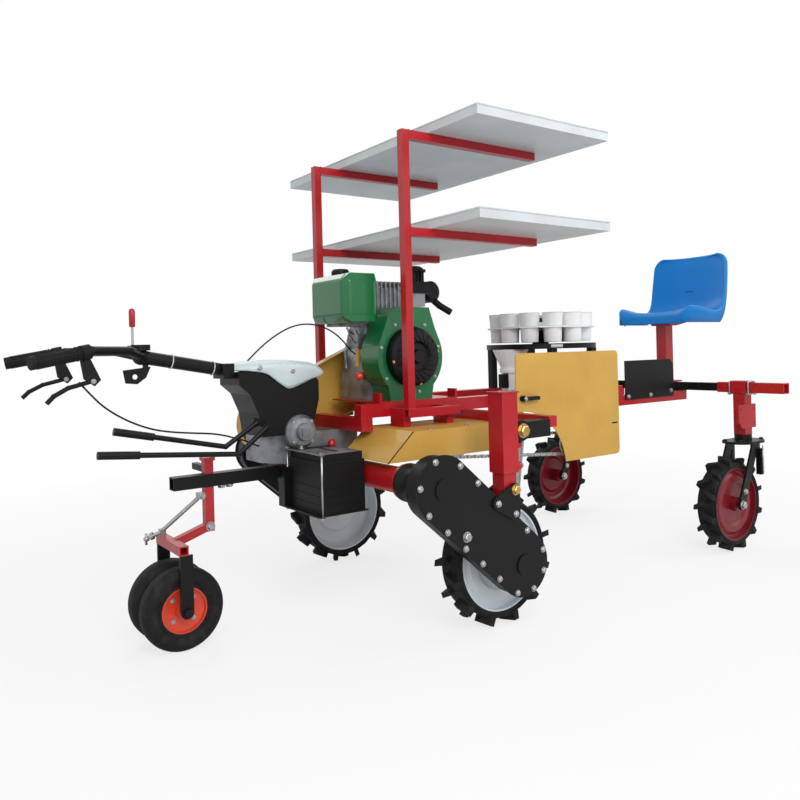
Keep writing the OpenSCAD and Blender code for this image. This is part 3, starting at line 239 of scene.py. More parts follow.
class Finish(Nodes):
    """One material, whose nodes end in a Principled surface"""

    def __init__(self, name):
        self.material = bpy.data.materials.new(name)
        self.material.use_nodes = True
        super().__init__(self.material.node_tree)
        self.surface = self.tree.nodes["Principled BSDF"]
        self.place = self.add("ShaderNodeTexCoord", output="Object")
        self.facing = self.add("ShaderNodeTexCoord", output="Normal")

    def noise(self, scale, detail, stretch=None):
        place = self.place
        if stretch:
            place = self.add("ShaderNodeMapping", {"Vector": place, "Scale": stretch})
        return self.add("ShaderNodeTexNoise", {"Vector": place, "Scale": scale, "Detail": detail})

    def ramp(self, value, *stops):
        """Grey ramp between two stops, each a position and a grey"""
        made = self.add("ShaderNodeValToRGB", {0: value})
        for element, (position, grey) in zip(made.socket.node.color_ramp.elements, stops):
            element.position = position
            element.color = (grey, grey, grey, 1)
        return made

    def patches(self, scale, detail, low, high):
        """0 to 1 in soft patches of a noise"""
        return self.ramp(self.noise(scale, detail), (low, 0.0), (high, 1.0))

    def mix(self, factor, first, second):
        # Sockets 6 and 7 and output 2 are the colour ones
        return self.add("ShaderNodeMix", {0: factor, 6: first, 7: second}, 2, data_type="RGBA")

    def upward(self):
        """1 on faces that look up, 0 on walls and undersides"""
        height = self.add("ShaderNodeSeparateXYZ", {0: self.facing}, "Z")
        return self.ramp(height, (0.25, 0.0), (0.95, 1.0))

    def edges(self, radius):
        """1 along sharp edges, 0 on open faces"""
        rounded = self.add("ShaderNodeBevel", {"Radius": radius}, samples=4)
        flat = self.add("ShaderNodeNewGeometry", output="Normal")
        same = self.add("ShaderNodeVectorMath", {0: rounded, 1: flat}, "Value", operation="DOT_PRODUCT")
        return self.ramp(1 - same, (0.02, 0.0), (0.2, 1.0))

    def bump(self, height, strength, distance):
        return self.add("ShaderNodeBump", {"Strength": strength, "Distance": distance, "Height": height})

    def finish(self, colour, roughness, **sockets):
        self.feed(self.surface.inputs["Base Color"], colour)
        self.feed(self.surface.inputs["Roughness"], roughness)
        for key, value in sockets.items():
            self.feed(self.surface.inputs[key.replace("_", " ").title().replace("Ior", "IOR")], value)
        return self.material


# Finishes of this machine

def shade(colour, factor):
    return tuple(min(1, channel * factor) for channel in colour)


def dust_colour():
    return tuple(bpy.context.scene.transplanter_paint.dust)


def painted(name, colour, gloss, dust, worn=(0.30, 0.29, 0.28), shine=0.5, coat=0.2):
    """Sprayed paint: uneven film, orange peel, dust on top faces and rubbed edges"""
    look = Finish(name)
    film = look.mix(look.patches(5.0, 4, 0.3, 0.75), shade(colour, 0.90), shade(colour, 1.06))
    settled = look.upward() * look.patches(60.0, 6, 0.42, 0.72) * dust
    dusty = look.mix(settled, film, dust_colour())
    chips = look.edges(0.0022) * look.patches(38.0, 5, 0.50, 0.62)
    skin = look.mix(chips * 0.35, dusty, worn)
    rough = look.noise(22.0, 3) * 0.12 + gloss + settled * 0.4
    peel = look.bump(look.noise(420.0, 2), 0.06, 0.0006)
    return look.finish(skin, rough, coat_weight=coat, specular_ior_level=shine, normal=peel)


def cast_metal(name, colour, grime=(0.06, 0.05, 0.045)):
    """Bare casting: sandy skin, oily stains in patches and lighter sharp edges"""
    look = Finish(name)
    skin = look.mix(look.patches(14.0, 6, 0.42, 0.70) * 0.75, colour, grime)
    bright = look.mix(look.edges(0.002) * 0.5, skin, shade(colour, 1.35))
    rough = look.noise(45.0, 4) * 0.25 + 0.32
    sand = look.bump(look.noise(330.0, 3), 0.22, 0.001)
    return look.finish(bright, rough, metallic=0.75, normal=sand)


def bright_metal(name, colour):
    """Plated or bare steel with fine draw marks and a few dull patches"""
    look = Finish(name)
    drawn = look.noise(60.0, 3, (1.0, 1.0, 14.0))
    skin = look.mix(look.patches(30.0, 5, 0.45, 0.75) * 0.45, colour, shade(colour, 0.55))
    marks = look.bump(drawn, 0.08, 0.0005)
    return look.finish(skin, drawn * 0.2 + 0.22, metallic=0.9, normal=marks)


def moulded(name, colour, gloss, grain, dusty=False, shine=0.5):
    """Moulded plastic: even colour, fine grain and, if dusty, a little dust on top faces"""
    look = Finish(name)
    skin = look.mix(look.noise(7.0, 3), shade(colour, 0.93), shade(colour, 1.05))
    if dusty:
        skin = look.mix(look.upward() * look.patches(70.0, 5, 0.45, 0.8) * 0.3, skin, dust_colour())
    rough = look.noise(40.0, 3) * 0.12 + gloss
    pores = look.bump(look.noise(grain, 2), 0.07, 0.0006)
    return look.finish(skin, rough, specular_ior_level=shine, normal=pores)


def rubber(name, colour, scuff=(0.06, 0.06, 0.064)):
    """Tyre rubber: dull, with dry soil in patches and scuffed lug edges"""
    look = Finish(name)
    skin = look.mix(look.patches(26.0, 6, 0.50, 0.78) * 0.07, colour, dust_colour())
    scuffed = look.mix(look.edges(0.003) * 0.3, skin, scuff)
    rough = look.noise(50.0, 4) * 0.2 + 0.62
    pores = look.bump(look.noise(240.0, 4), 0.15, 0.001)
    return look.finish(scuffed, rough, specular_ior_level=0.25, normal=pores)


# Each finish: its recipe, its colour setting and the recipe's own values
RECIPES = {
    "red_paint": (painted, "red", {"gloss": 0.26, "dust": 0.06, "shine": 0.4}),
    "yellow_paint": (painted, "yellow", {"gloss": 0.38, "dust": 0.06, "shine": 0.4}),
    "green_paint": (painted, "green", {"gloss": 0.16, "dust": 0.05}),
    "black_paint": (painted, "black",
                    {"gloss": 0.34, "dust": 0.04, "worn": (0.12, 0.12, 0.12), "shine": 0.22, "coat": 0.0}),
    "disc_grey": (painted, "disc", {"gloss": 0.36, "dust": 0.1}),
    "disc_red": (painted, "dark_red", {"gloss": 0.3, "dust": 0.05, "shine": 0.35, "coat": 0.1}),
    "rim_orange": (painted, "orange", {"gloss": 0.32, "dust": 0.1}),
    "grey_sheet": (painted, "sheet", {"gloss": 0.34, "dust": 0.1}),
    "cast_alloy": (cast_metal, "alloy", {}),
    "bright_steel": (bright_metal, "steel", {}),
    "gold_zinc": (bright_metal, "gold", {}),
    "pale_plastic": (moulded, "pale", {"gloss": 0.36, "grain": 420.0, "dusty": True}),
    # The cups' white: partly their own colour, partly painted light against the trays' shade
    "cup_white": (moulded, "cup", {"gloss": 0.34, "grain": 420.0}),
    "seat_blue": (moulded, "seat", {"gloss": 0.32, "grain": 700.0, "shine": 0.3}),
    "black_plastic": (moulded, "plastic", {"gloss": 0.42, "grain": 380.0, "shine": 0.25}),
    "grip_rubber": (moulded, "plastic", {"gloss": 0.6, "grain": 300.0, "shine": 0.25}),
    "tyre_rubber": (rubber, "tyre", {}),
}
# Every finish by its name, filled by the finishes operator
FINISHES = {}
# Nodes whose finish is not named after their slot: the cups and funnel take a whiter copy of the pale plastic, partly
# painted light against the trays' shade
NODE_FINISH = {"carousel_ring": "cup_white", "drop_funnel": "cup_white"}


# Mesh helpers

def add_object(name, data):
    made = bpy.data.objects.new(name, data)
    bpy.context.scene.collection.objects.link(made)
    return made


def place_mesh(name, mesh, body):
    piece = add_object(name, mesh)
    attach(piece, body)
    return piece


def add_piece(name, build, slot, body="chassis"):
    """New mesh piece: build fills a bmesh, the piece rides on a body and takes a slot's finish"""
    mesh = bpy.data.meshes.new(name)
    shape = bmesh.new()
    build(shape)
    bmesh.ops.recalc_face_normals(shape, faces=shape.faces)
    shape.to_mesh(mesh)
    shape.free()
    mesh.materials.append(FINISHES[slot])
    return place_mesh(name, mesh, body)


def add_tube(name, points, radius, slot, body="chassis", sides=8):
    return add_piece(name, lambda shape: sweep(shape, points, radius, sides), slot, body)


def add_block(name, corners, slot, bevel=BEVEL):
    return add_piece(name, lambda shape: block(shape, *corners, bevel), slot)


def add_turned(name, foot, way, profile, slot, sides):
    return add_piece(name, lambda shape: turned(shape, at(*foot), way, profile, sides), slot)


def mirrored(rows):
    """Hardware rows and their images on the other side of the machine"""
    return rows + [(point * FLIP, way * FLIP, size) for point, way, size in rows]


def ring(shape, middle, side, across, radius, sides):
    turns = [2 * math.pi * k / sides for k in range(sides)]
    return [shape.verts.new(middle + radius * (math.cos(turn) * side + math.sin(turn) * across)) for turn in turns]


def join_rings(shape, pairs):
    for first, second in pairs:
        for k in range(len(first)):
            after = (k + 1) % len(first)
            shape.faces.new((first[k], first[after], second[after], second[k])).smooth = True


def close_ends(shape, rings):
    shape.faces.new(list(reversed(rings[0])))
    shape.faces.new(rings[-1])


def sweep(shape, points, radius, sides=8, closed=False):
    """Round tube along points, with rings square to the path"""
    count = len(points)
    rings = []
    side = None
    for index, point in enumerate(points):
        before = points[index - 1] if closed or index else point
        after = points[(index + 1) % count] if closed or index < count - 1 else point
        heading = (after - before).normalized()
        if side is None:
            side = heading.orthogonal().normalized()
        side = (side - heading * side.dot(heading)).normalized()
        rings.append(ring(shape, point, side, heading.cross(side), radius, sides))
    pairs = list(zip(rings, rings[1:]))
    if closed:
        shift = min(range(sides), key=lambda k: (rings[-1][0].co - rings[0][k].co).length)
        pairs.append((rings[-1], rings[0][shift:] + rings[0][:shift]))
    else:
        close_ends(shape, rings)
    join_rings(shape, pairs)


def turned(shape, foot, way, profile, sides):
    """Body of revolution from foot along way: profile is rows of radius and height in millimetres"""
    side = way.orthogonal().normalized()
    rings = [ring(shape, foot + way * (height * MM), side, way.cross(side), radius * MM, sides)
             for radius, height in profile]
    join_rings(shape, zip(rings, rings[1:]))
    close_ends(shape, rings)


def block(shape, low, high, bevel=BEVEL):
    """Box between two points of the machine; its edges are rounded by bevel, in millimetres"""
    low, high = at(*low), at(*high)
    made = bmesh.ops.create_cube(shape, size=1)["verts"]
    middle, size = (low + high) / 2, high - low
    for vert in made:
        vert.co = middle + Vector([c * abs(d) for c, d in zip(vert.co, size)])
    if bevel:
        edges = list({edge for vert in made for edge in vert.link_edges})
        bmesh.ops.bevel(shape, geom=edges, offset=bevel * MM, segments=2, affect="EDGES", profile=0.5)


def curve_point(a, b, c, d, t):
    return 0.5 * (2 * b + (c - a) * t + (2 * a - 5 * b + 4 * c - d) * t ** 2 + (3 * b - a - 3 * c + d) * t ** 3)


def smooth_path(points, steps=6):
    """Catmull-Rom curve through points"""
    ends = [2 * points[0] - points[1], *points, 2 * points[-1] - points[-2]]
    path = [curve_point(*knots, k / steps) for knots in zip(ends, ends[1:], ends[2:], ends[3:])
            for k in range(steps)]
    return path + [points[-1].copy()]


def path_length(path):
    return sum((b - a).length for a, b in zip(path, path[1:]))


def shell(shape, grid, wall):
    """Closed sheet of even wall under a grid of points, with smooth faces"""
    rows, cols = len(grid), len(grid[0])
    under = []
    for i in range(rows):
        line = []
        for j in range(cols):
            along = grid[min(i + 1, rows - 1)][j] - grid[max(i - 1, 0)][j]
            across = grid[i][min(j + 1, cols - 1)] - grid[i][max(j - 1, 0)]
            line.append(grid[i][j] - along.cross(across).normalized() * wall)
        under.append(line)
    skins = [[[shape.verts.new(point) for point in line] for line in skin] for skin in (grid, under)]
    for skin in skins:
        for i in range(rows - 1):
            for j in range(cols - 1):
                shape.faces.new((skin[i][j], skin[i][j + 1], skin[i + 1][j + 1], skin[i + 1][j])).smooth = True
    rim = [(i, 0) for i in range(rows)] + [(rows - 1, j) for j in range(1, cols)]
    rim += [(i, cols - 1) for i in range(rows - 2, -1, -1)] + [(0, j) for j in range(cols - 2, 0, -1)]
    for (i, j), (k, m) in zip(rim, rim[1:] + rim[:1]):
        shape.faces.new((skins[0][i][j], skins[0][k][m], skins[1][k][m], skins[1][i][j])).smooth = True


# Hardware by Geometry Nodes

class Growth(Nodes):
    """Geometry Nodes tree that puts one shape on the points of a mesh or along its edges"""

    def __init__(self, name, *labels):
        super().__init__(bpy.data.node_groups.new(name, "GeometryNodeTree"))
        for label, way, kind in (("Geometry", "INPUT", "Geometry"),
                                 *((label, "INPUT", "Float") for label in labels),
                                 ("Material", "INPUT", "Material"),
                                 ("Geometry", "OUTPUT", "Geometry")):
            self.tree.interface.new_socket(label, in_out=way, socket_type="NodeSocket" + kind)
        outputs = self.tree.nodes.new("NodeGroupInput").outputs
        self.given = {label: Term(self, outputs[label]) for label in ("Geometry", *labels, "Material")}

    def raised(self, mesh, height):
        place = self.add("ShaderNodeCombineXYZ", {"Z": height})
        return self.add("GeometryNodeTransform", {"Geometry": mesh, "Translation": place})

    def cylinder(self, sides, radius, height):
        return self.add("GeometryNodeMeshCylinder", {"Vertices": sides, "Radius": radius, "Depth": height})

    def head(self, sides, straight, chamfer, low, high, foot=0.0):
        """Straight part and chamfered top of a head, as shares of its height and radius"""
        radius, height = self.given["Head Radius"], self.given["Head Height"]
        wall = self.cylinder(sides, radius, height * straight)
        top = self.add("GeometryNodeMeshCone", {
            "Vertices": sides, "Radius Bottom": radius * low, "Radius Top": radius * high, "Depth": height * chamfer})
        return [self.raised(wall, height * (straight / 2) + foot), self.raised(top, height * (1 - chamfer) + foot)]

    def joined(self, meshes):
        return self.add("GeometryNodeJoinGeometry", {0: meshes})

    def circle(self, sides, radius):
        return self.add("GeometryNodeCurvePrimitiveCircle", {"Resolution": sides, "Radius": radius})

    def hoop(self, sides):
        return self.add("GeometryNodeCurveToMesh", {
            "Curve": self.circle(sides, self.given["Ring Radius"]),
            "Profile Curve": self.circle(sides=8, radius=self.given["Edge Radius"])})

    def attribute(self, name, kind):
        return self.add("GeometryNodeInputNamedAttribute", {"Name": name}, "Attribute", data_type=kind)

    def on_points(self, shape, smooth=False):
        """Ends the tree with copies on the source's points, by their axis and size"""
        way, size = self.attribute("axis", "FLOAT_VECTOR"), self.attribute("size", "FLOAT")
        return self.spread(self.given["Geometry"], shape, way, size, smooth)

    def along_edges(self, shape):
        """Ends the tree with copies at an even pitch along the source's edges"""
        curve = self.add("GeometryNodeMeshToCurve", {"Mesh": self.given["Geometry"]})
        points = self.add("GeometryNodeResampleCurve", {"Curve": curve, "Length": self.given["Pitch"]}, mode="LENGTH")
        return self.spread(points, shape, self.add("GeometryNodeInputTangent"), (1, 1, 1), True)

    def spread(self, points, shape, way, size, smooth):
        turn = self.add("FunctionNodeAlignRotationToVector", {"Vector": way}, axis="Z")
        copies = self.add("GeometryNodeInstanceOnPoints",
                          {"Points": points, "Instance": shape, "Rotation": turn, "Scale": size})
        solid = self.add("GeometryNodeRealizeInstances", {0: copies})
        if smooth:
            solid = self.add("GeometryNodeSetShadeSmooth", {"Geometry": solid, "Shade Smooth": True})
        done = self.add("GeometryNodeSetMaterial", {"Geometry": solid, "Material": self.given["Material"]})
        self.feed(self.tree.nodes.new("NodeGroupOutput").inputs[0], done)
        return self.tree


def bolt_tree(name):
    """A washer and a chamfered hex head on every point, turned along its axis"""
    grow = Growth(name, "Head Radius", "Head Height", "Washer Radius", "Washer Height")
    thick = grow.given["Washer Height"]
    washer = grow.cylinder(sides=20, radius=grow.given["Washer Radius"], height=thick)
    head = grow.head(sides=6, straight=0.8, chamfer=0.24, low=0.99, high=0.78, foot=thick)
    return grow.on_points(grow.joined([grow.raised(washer, thick * 0.5), *head]))


def rivet_tree(name):
    """A low round head on every point, turned along its axis"""
    grow = Growth(name, "Head Radius", "Head Height")
    return grow.on_points(grow.joined(grow.head(sides=12, straight=0.6, chamfer=0.45, low=0.98, high=0.6)))


def rib_tree(name):
    """Round ribs at an even pitch along a line"""
    grow = Growth(name, "Pitch", "Ring Radius", "Edge Radius")
    return grow.along_edges(grow.hoop(sides=24))


def lip_tree(name):
    """A round lip on every point, turned along its axis"""
    grow = Growth(name, "Ring Radius", "Edge Radius")
    return grow.on_points(grow.hoop(sides=48), smooth=True)


def weld_tree(name):
    """Weld beads: ripples at an even pitch along a seam"""
    grow = Growth(name, "Pitch", "Bead Radius")
    ripple = grow.add("GeometryNodeMeshIcoSphere", {"Radius": grow.given["Bead Radius"], "Subdivisions": 2})
    return grow.along_edges(ripple)


TREES = {"hex_bolts": bolt_tree, "rivets": rivet_tree, "ribs": rib_tree, "lips": lip_tree, "weld_beads": weld_tree}


def grow_piece(name, source, kind, values, slot, body="chassis", finish=None):
    """Runs a tree on a source mesh and keeps the result as a plain piece"""
    tree = bpy.data.node_groups.get(kind) or TREES[kind](kind)
    values = {**values, "Material": FINISHES[finish or slot]}
    maker = add_object(name + "_maker", source)
    modifier = maker.modifiers.new("grow", "NODES")
    modifier.node_group = tree
    for item in tree.interface.items_tree:
        if item.in_out == "INPUT" and item.name in values:
            modifier[item.identifier] = values[item.name]
    evaluated = maker.evaluated_get(bpy.context.evaluated_depsgraph_get())
    mesh = bpy.data.meshes.new_from_object(evaluated)
    mesh.name = name
    maker.modifiers.remove(modifier)
    bpy.data.objects.remove(maker)
    if not mesh.polygons:
        raise RuntimeError(name + " came out empty")
    return place_mesh(name, mesh, body)


def point_mesh(name, rows):
    source = bpy.data.meshes.new(name + "_points")
    source.from_pydata([row[0] for row in rows], [], [])
    source.attributes.new("axis", "FLOAT_VECTOR", "POINT")
    source.attributes.new("size", "FLOAT", "POINT")
    source.attributes["axis"].data.foreach_set("vector", [value for row in rows for value in row[1]])
    source.attributes["size"].data.foreach_set("value", [row[2] for row in rows])
    return source


def line_mesh(name, lines):
    source = bpy.data.meshes.new(name + "_lines")
    points, edges = [], []
    for line in lines:
        edges += [(len(points) + k, len(points) + k + 1) for k in range(len(line) - 1)]
        points += line
    source.from_pydata(points, edges, [])
    return source


def bolts(name, rows, body="chassis", slot="bright_steel", finish=None):
    """Hex bolts on one body; each row is a point, the way the head looks and a size factor"""
    sizes = bpy.context.scene.transplanter_hardware
    values = {"Head Radius": sizes.bolt_radius, "Head Height": sizes.bolt_height,
              "Washer Radius": sizes.washer_radius, "Washer Height": sizes.washer_height}
    return grow_piece(name, point_mesh(name, rows), "hex_bolts", values, slot, body, finish)


def bolt_rows(points, way, size):
    return [(at(*point), way, size) for point in points]


def rivets(name, rows, radius, height, slot):
    values = {"Head Radius": radius * MM, "Head Height": height * MM}
    return grow_piece(name, point_mesh(name, rows), "rivets", values, slot)


def lips(name, middles, way, radius, edge, slot, body="chassis"):
    values = {"Ring Radius": radius * MM, "Edge Radius": edge * MM}
    return grow_piece(name, point_mesh(name, [(middle, way, 1.0) for middle in middles]), "lips", values, slot, body)


def ribs(name, lines, pitch, radius, edge, slot):
    values = {"Pitch": pitch, "Ring Radius": radius * MM, "Edge Radius": edge}
    return grow_piece(name, line_mesh(name, lines), "ribs", values, slot)


def welds(name, lines, slot):
    sizes = bpy.context.scene.transplanter_hardware
    values = {"Pitch": sizes.bead_pitch, "Bead Radius": sizes.bead_radius}
    return grow_piece(name, line_mesh(name, lines), "weld_beads", values, slot)


def square_seam(x, y, z, half, way):
    """Closed line round a square section of half width half, square to way ("X" or "Z")"""
    a, b = {"X": (UP, RIGHT), "Z": (BACKWARD, RIGHT)}[way]
    corners = [(-1, -1), (1, -1), (1, 1), (-1, 1), (-1, -1)]
    return [at(x, y, z) + half * MM * (i * a + j * b) for i, j in corners]


# Operators

class TRANSPLANTER_OT_finishes(bpy.types.Operator):
    """Make the finishes and put one on every node of the frame"""

    bl_idname = "transplanter.finishes"
    bl_label = "Finishes"

    def execute(self, context):
        paint = context.scene.transplanter_paint
        for name, (recipe, colour, values) in RECIPES.items():
            FINISHES[name] = recipe(name, tuple(getattr(paint, colour)), **values)
        for name, node in NODES.items():
            node.data.materials.clear()
            node.data.materials.append(FINISHES[NODE_FINISH.get(name, SLOT_OF[name])])
        return {"FINISHED"}


class TRANSPLANTER_OT_stage(bpy.types.Operator):
    """Set the camera, the soft lamps, the sky and the pale floor"""

    bl_idname = "transplanter.stage"
    bl_label = "Stage"

    FAR = 100
    # Name, power setting, width, and place from the middle of the machine
    LAMPS = (("key_lamp", "key", 3.0, (-1.8, -4.0, 2.3)),
             ("fill_lamp", "fill", 3.5, (3.4, -2.2, 2.4)),
             ("back_lamp", "fill", 3.0, (0.5, 3.8, 3.4)))
    FLOOR_GREY, FLOOR_ROUGH, FLOOR_SHINE = (0.94, 0.94, 0.94), 0.9, 0.1

    def execute(self, context):
        stage = context.scene.transplanter_stage
        self.add_camera(context, stage)
        self.add_lamps(stage)
        self.add_sky(context, stage)
        self.add_floor(stage)
        context.scene.view_settings.view_transform = "Standard"
        return {"FINISHED"}

    def add_camera(self, context, stage):
        data = bpy.data.cameras.new("camera")
        data.sensor_width = SENSOR_MM
        data.lens = stage.lens
        data.shift_y = stage.shift
        data.clip_end = self.FAR
        camera = add_object("camera", data)
        ahead = Vector((math.sin(stage.azimuth), math.cos(stage.azimuth), 0))
        right = Vector((math.cos(stage.azimuth), -math.sin(stage.azimuth), 0))
        turned_right = math.cos(stage.roll) * right - math.sin(stage.roll) * UP
        turned_up = math.sin(stage.roll) * right + math.cos(stage.roll) * UP
        camera.matrix_world = Matrix((turned_right, turned_up, -ahead)).transposed().to_4x4()
        camera.location = Vector((AXLE.x, 0, 0)) + Vector(stage.camera_place)
        context.scene.camera = camera

    def add_lamps(self, stage):
        middle = (CAD_BOX[0] + CAD_BOX[1]) / 2
        for name, power, size, offset in self.LAMPS:
            data = bpy.data.lights.new(name, "AREA")
            data.energy = getattr(stage, power)
            data.shape = "DISK"
            data.size = size
            lamp = add_object(name, data)
            lamp.location = middle + Vector(offset)
            lamp.rotation_euler = (-Vector(offset)).to_track_quat("-Z", "Y").to_euler()

    def add_sky(self, context, stage):
        """White for the camera and in reflections, and a softer white that lights the machine"""
        world = bpy.data.worlds.new("studio")
        world.use_nodes = True
        context.scene.world = world
        sky = Nodes(world.node_tree)
        camera, glossy, through = (sky.add("ShaderNodeLightPath", output=f"Is {ray} Ray")
                                   for ray in ("Camera", "Glossy", "Transmission"))
        seen = camera.largest(glossy.largest(through))
        light = sky.tree.nodes["Background"].inputs
        sky.feed(light["Color"], (1, 1, 1))
        sky.feed(light["Strength"], seen * (1 - stage.sky) + stage.sky)

    def add_floor(self, stage):
        mesh = bpy.data.meshes.new("floor")
        half = stage.floor_size / 2
        mesh.from_pydata([(-half, -half, 0), (half, -half, 0), (half, half, 0), (-half, half, 0)], [], [(0, 1, 2, 3)])
        floor = add_object("floor", mesh)
        look = Finish("floor")
        away = look.add("ShaderNodeVectorMath", {0: look.place}, "Value", operation="LENGTH")
        glow = look.add("ShaderNodeEmission", {"Strength": 1.0})
        seen = look.add("ShaderNodeLightPath", output="Is Camera Ray")
        share = look.ramp(away / stage.fade_end, (stage.fade_start / stage.fade_end, stage.near_glow), (1.0, 1.0))
        look.finish(self.FLOOR_GREY, self.FLOOR_ROUGH, specular_ior_level=self.FLOOR_SHINE)
        lit = Term(look, look.surface.outputs[0])
        both = look.add("ShaderNodeMixShader", {0: seen * share, 1: lit, 2: glow})
        look.feed(look.tree.nodes["Material Output"].inputs["Surface"], both)
        mesh.materials.append(look.material)


class TRANSPLANTER_OT_cables(bpy.types.Operator):
    """Lay the clutch cable and the throttle cable along the frame's own routes"""

    bl_idname = "transplanter.cables"
    bl_label = "Cables"

    ROUTES = {
        "clutch_cable": (
            (-1330, -186, 925), (-1300, -182, 890), (-1262, -178, 850), (-1215, -174, 815), (-1160, -170, 785),
            (-1100, -164, 762), (-1035, -154, 748), (-965, -141, 738), (-900, -122, 729), (-845, -94, 717),
            (-795, -68, 702), (-742, -54, 684), (-690, -48, 660)),
        "throttle_cable": (
            (-690, 40, 965), (-665, 36, 990), (-635, 32, 1018), (-600, 28, 1046), (-560, 24, 1072),
            (-515, 18, 1094), (-465, 12, 1106), (-415, 4, 1104), (-370, -4, 1090), (-330, -12, 1066),
            (-296, -18, 1034), (-268, -22, 1000), (-211, -24, 960)),
    }
    STEPS, ROUND = 4, 12

    def execute(self, context):
        radius = context.scene.transplanter_hardware.cable_radius
        for node, route in self.ROUTES.items():
            path = smooth_path(places(route), self.STEPS)
            cable = add_tube(node + "_sheath", path, radius, "black_plastic", BODY_OF[node], self.ROUND)
            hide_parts(node)
            path_length(path)
        return {"FINISHED"}


class TRANSPLANTER_OT_seat(bpy.types.Operator):
    """Mould the seat: one smooth shell with a rolled edge and a drain slit"""

    bl_idname = "transplanter.seat"
    bl_label = "Seat"

    # Side line of the upper face: distance from the front, height above the underside, share of the half width
    LINE = ((0, 8, 0.74), (6, 52, 0.86), (40, 70, 0.96), (130, 60, 1), (230, 46, 1), (300, 62, 1),
            (342, 120, 1), (362, 220, 1), (376, 320, 0.98), (379.5, 340, 0.96), (383, 357, 0.915),
            (385, 369, 0.85), (386, 375, 0.76))
    FRONT, MIDDLE, UNDERSIDE, HALF_WIDTH = 1540, -125, 1090, 218
    STEPS, COLUMNS, BEND_STEPS = 7, 36, 5
    # Height of the side bolsters, its share at the front edge, and the knots over which it grows
    BOLSTER, BOLSTER_LEAST, BOLSTER_KNOTS = 30, 0.2, 2
    # Rim: its depth on the backrest, where the backrest starts and fades in, and its end above the underside
    SKIRT_BACK, BACK_FROM, BACK_FADE, CLEAR_UNDER, SKIRT_LEAST = 14, 285, 80, 10, 2
    SLIT_ROW, SLIT_HALF, SLIT_STEP, SLIT_RADIUS = 47, 26, 4, 1.6

    def execute(self, context):
        sizes = context.scene.transplanter_hardware
        self.lines = smooth_path([Vector(row) for row in self.LINE], self.STEPS)
        grid = self.grid(sizes.seat_roll / MM)
        seat = add_piece("seat_shell", lambda shape: shell(shape, grid, sizes.seat_wall), "seat_blue")
        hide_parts("seat")
        across = range(-self.SLIT_HALF, self.SLIT_HALF + 1, self.SLIT_STEP)
        slit = [self.point(self.SLIT_ROW, y / self.HALF_WIDTH, 0) for y in across]
        add_tube("seat_slit", slit, self.SLIT_RADIUS * MM, "black_plastic")
        return {"FINISHED"}

    def neighbours(self, row):
        return self.lines[max(row - 1, 0)], self.lines[min(row + 1, len(self.lines) - 1)]

    def heading(self, row):
        before, after = self.neighbours(row)
        return (after - before).to_2d().normalized()

    def bolster(self, row):
        grown = row / (self.BOLSTER_KNOTS * self.STEPS)
        return self.BOLSTER * min(1, self.BOLSTER_LEAST + (1 - self.BOLSTER_LEAST) * grown)

    def point(self, row, across, drop, beyond=0.0, outward=0.0):
        """Point of the seat: row of the side line, place across from -1 to 1, and the rolled edge's offsets"""
        line, way = self.lines[row], self.heading(row)
        square = Vector((-way.y, way.x))
        rise = self.bolster(row) * abs(across) ** 3 - drop
        place = line.to_2d() + square * rise + way * beyond
        side = self.MIDDLE + across * line.z * self.HALF_WIDTH + outward
        return at(self.FRONT + place.x, side, self.UNDERSIDE + place.y)

    def outward(self, row):
        """Shares across and along of the way that looks square out of the seat's outline"""
        before, after = self.neighbours(row)
        run = (after - before).to_2d().length
        return Vector((run, -(after.z - before.z) * self.HALF_WIDTH)).normalized()

    def skirt(self, row, start, share):
        """Lower end of the rim: straight down on the cushion, backward on the backrest"""
        way = self.heading(row)
        fall = max(self.SKIRT_LEAST * MM, start.z - (self.UNDERSIDE + self.CLEAR_UNDER) * MM)
        return start + DOWN * fall * (1 - share) + Vector((way.y, 0, -way.x)) * self.SKIRT_BACK * MM * share

    def rim(self, row, side, top, profile, share):
        """Rolled edge beside a row, outward from the seat; top counts the steps round the upper edge"""
        side_way, points = self.outward(row), []
        for step in range(1, len(profile)):
            turn = 0.5 * top / step if step >= top else 1 - 0.5 * step / top
            aside, along = side_way.lerp(Vector((0, 1)), turn).normalized()
            out, fall = profile[max(step, top)]
            points.append(self.point(row, side, fall, out * along, side * out * aside))
        if not top:
            points[-1] = self.skirt(row, points[-2], share)
        return points

    def grid(self, roll):
        bends = [math.pi / 2 * k / self.BEND_STEPS for k in range(self.BEND_STEPS + 1)]
        profile = [(roll * math.sin(turn), roll * (1 - math.cos(turn))) for turn in bends]
        profile.append((roll, roll + self.SKIRT_BACK))
        last = len(self.lines) - 1
        grid = []
        for row, top in [(row, 0) for row in range(last)] + [(last, step) for step in range(len(profile))]:
            share = min(1, max(0, (self.lines[row].x - self.BACK_FROM) / self.BACK_FADE))
            left, right = (self.rim(row, side, top, profile, share) for side in SIDES)
            beyond, drop = profile[top]
            middle = [self.point(row, 2 * k / self.COLUMNS - 1, drop, beyond) for k in range(self.COLUMNS + 1)]
            grid.append(left[::-1] + middle + right)
        return grid


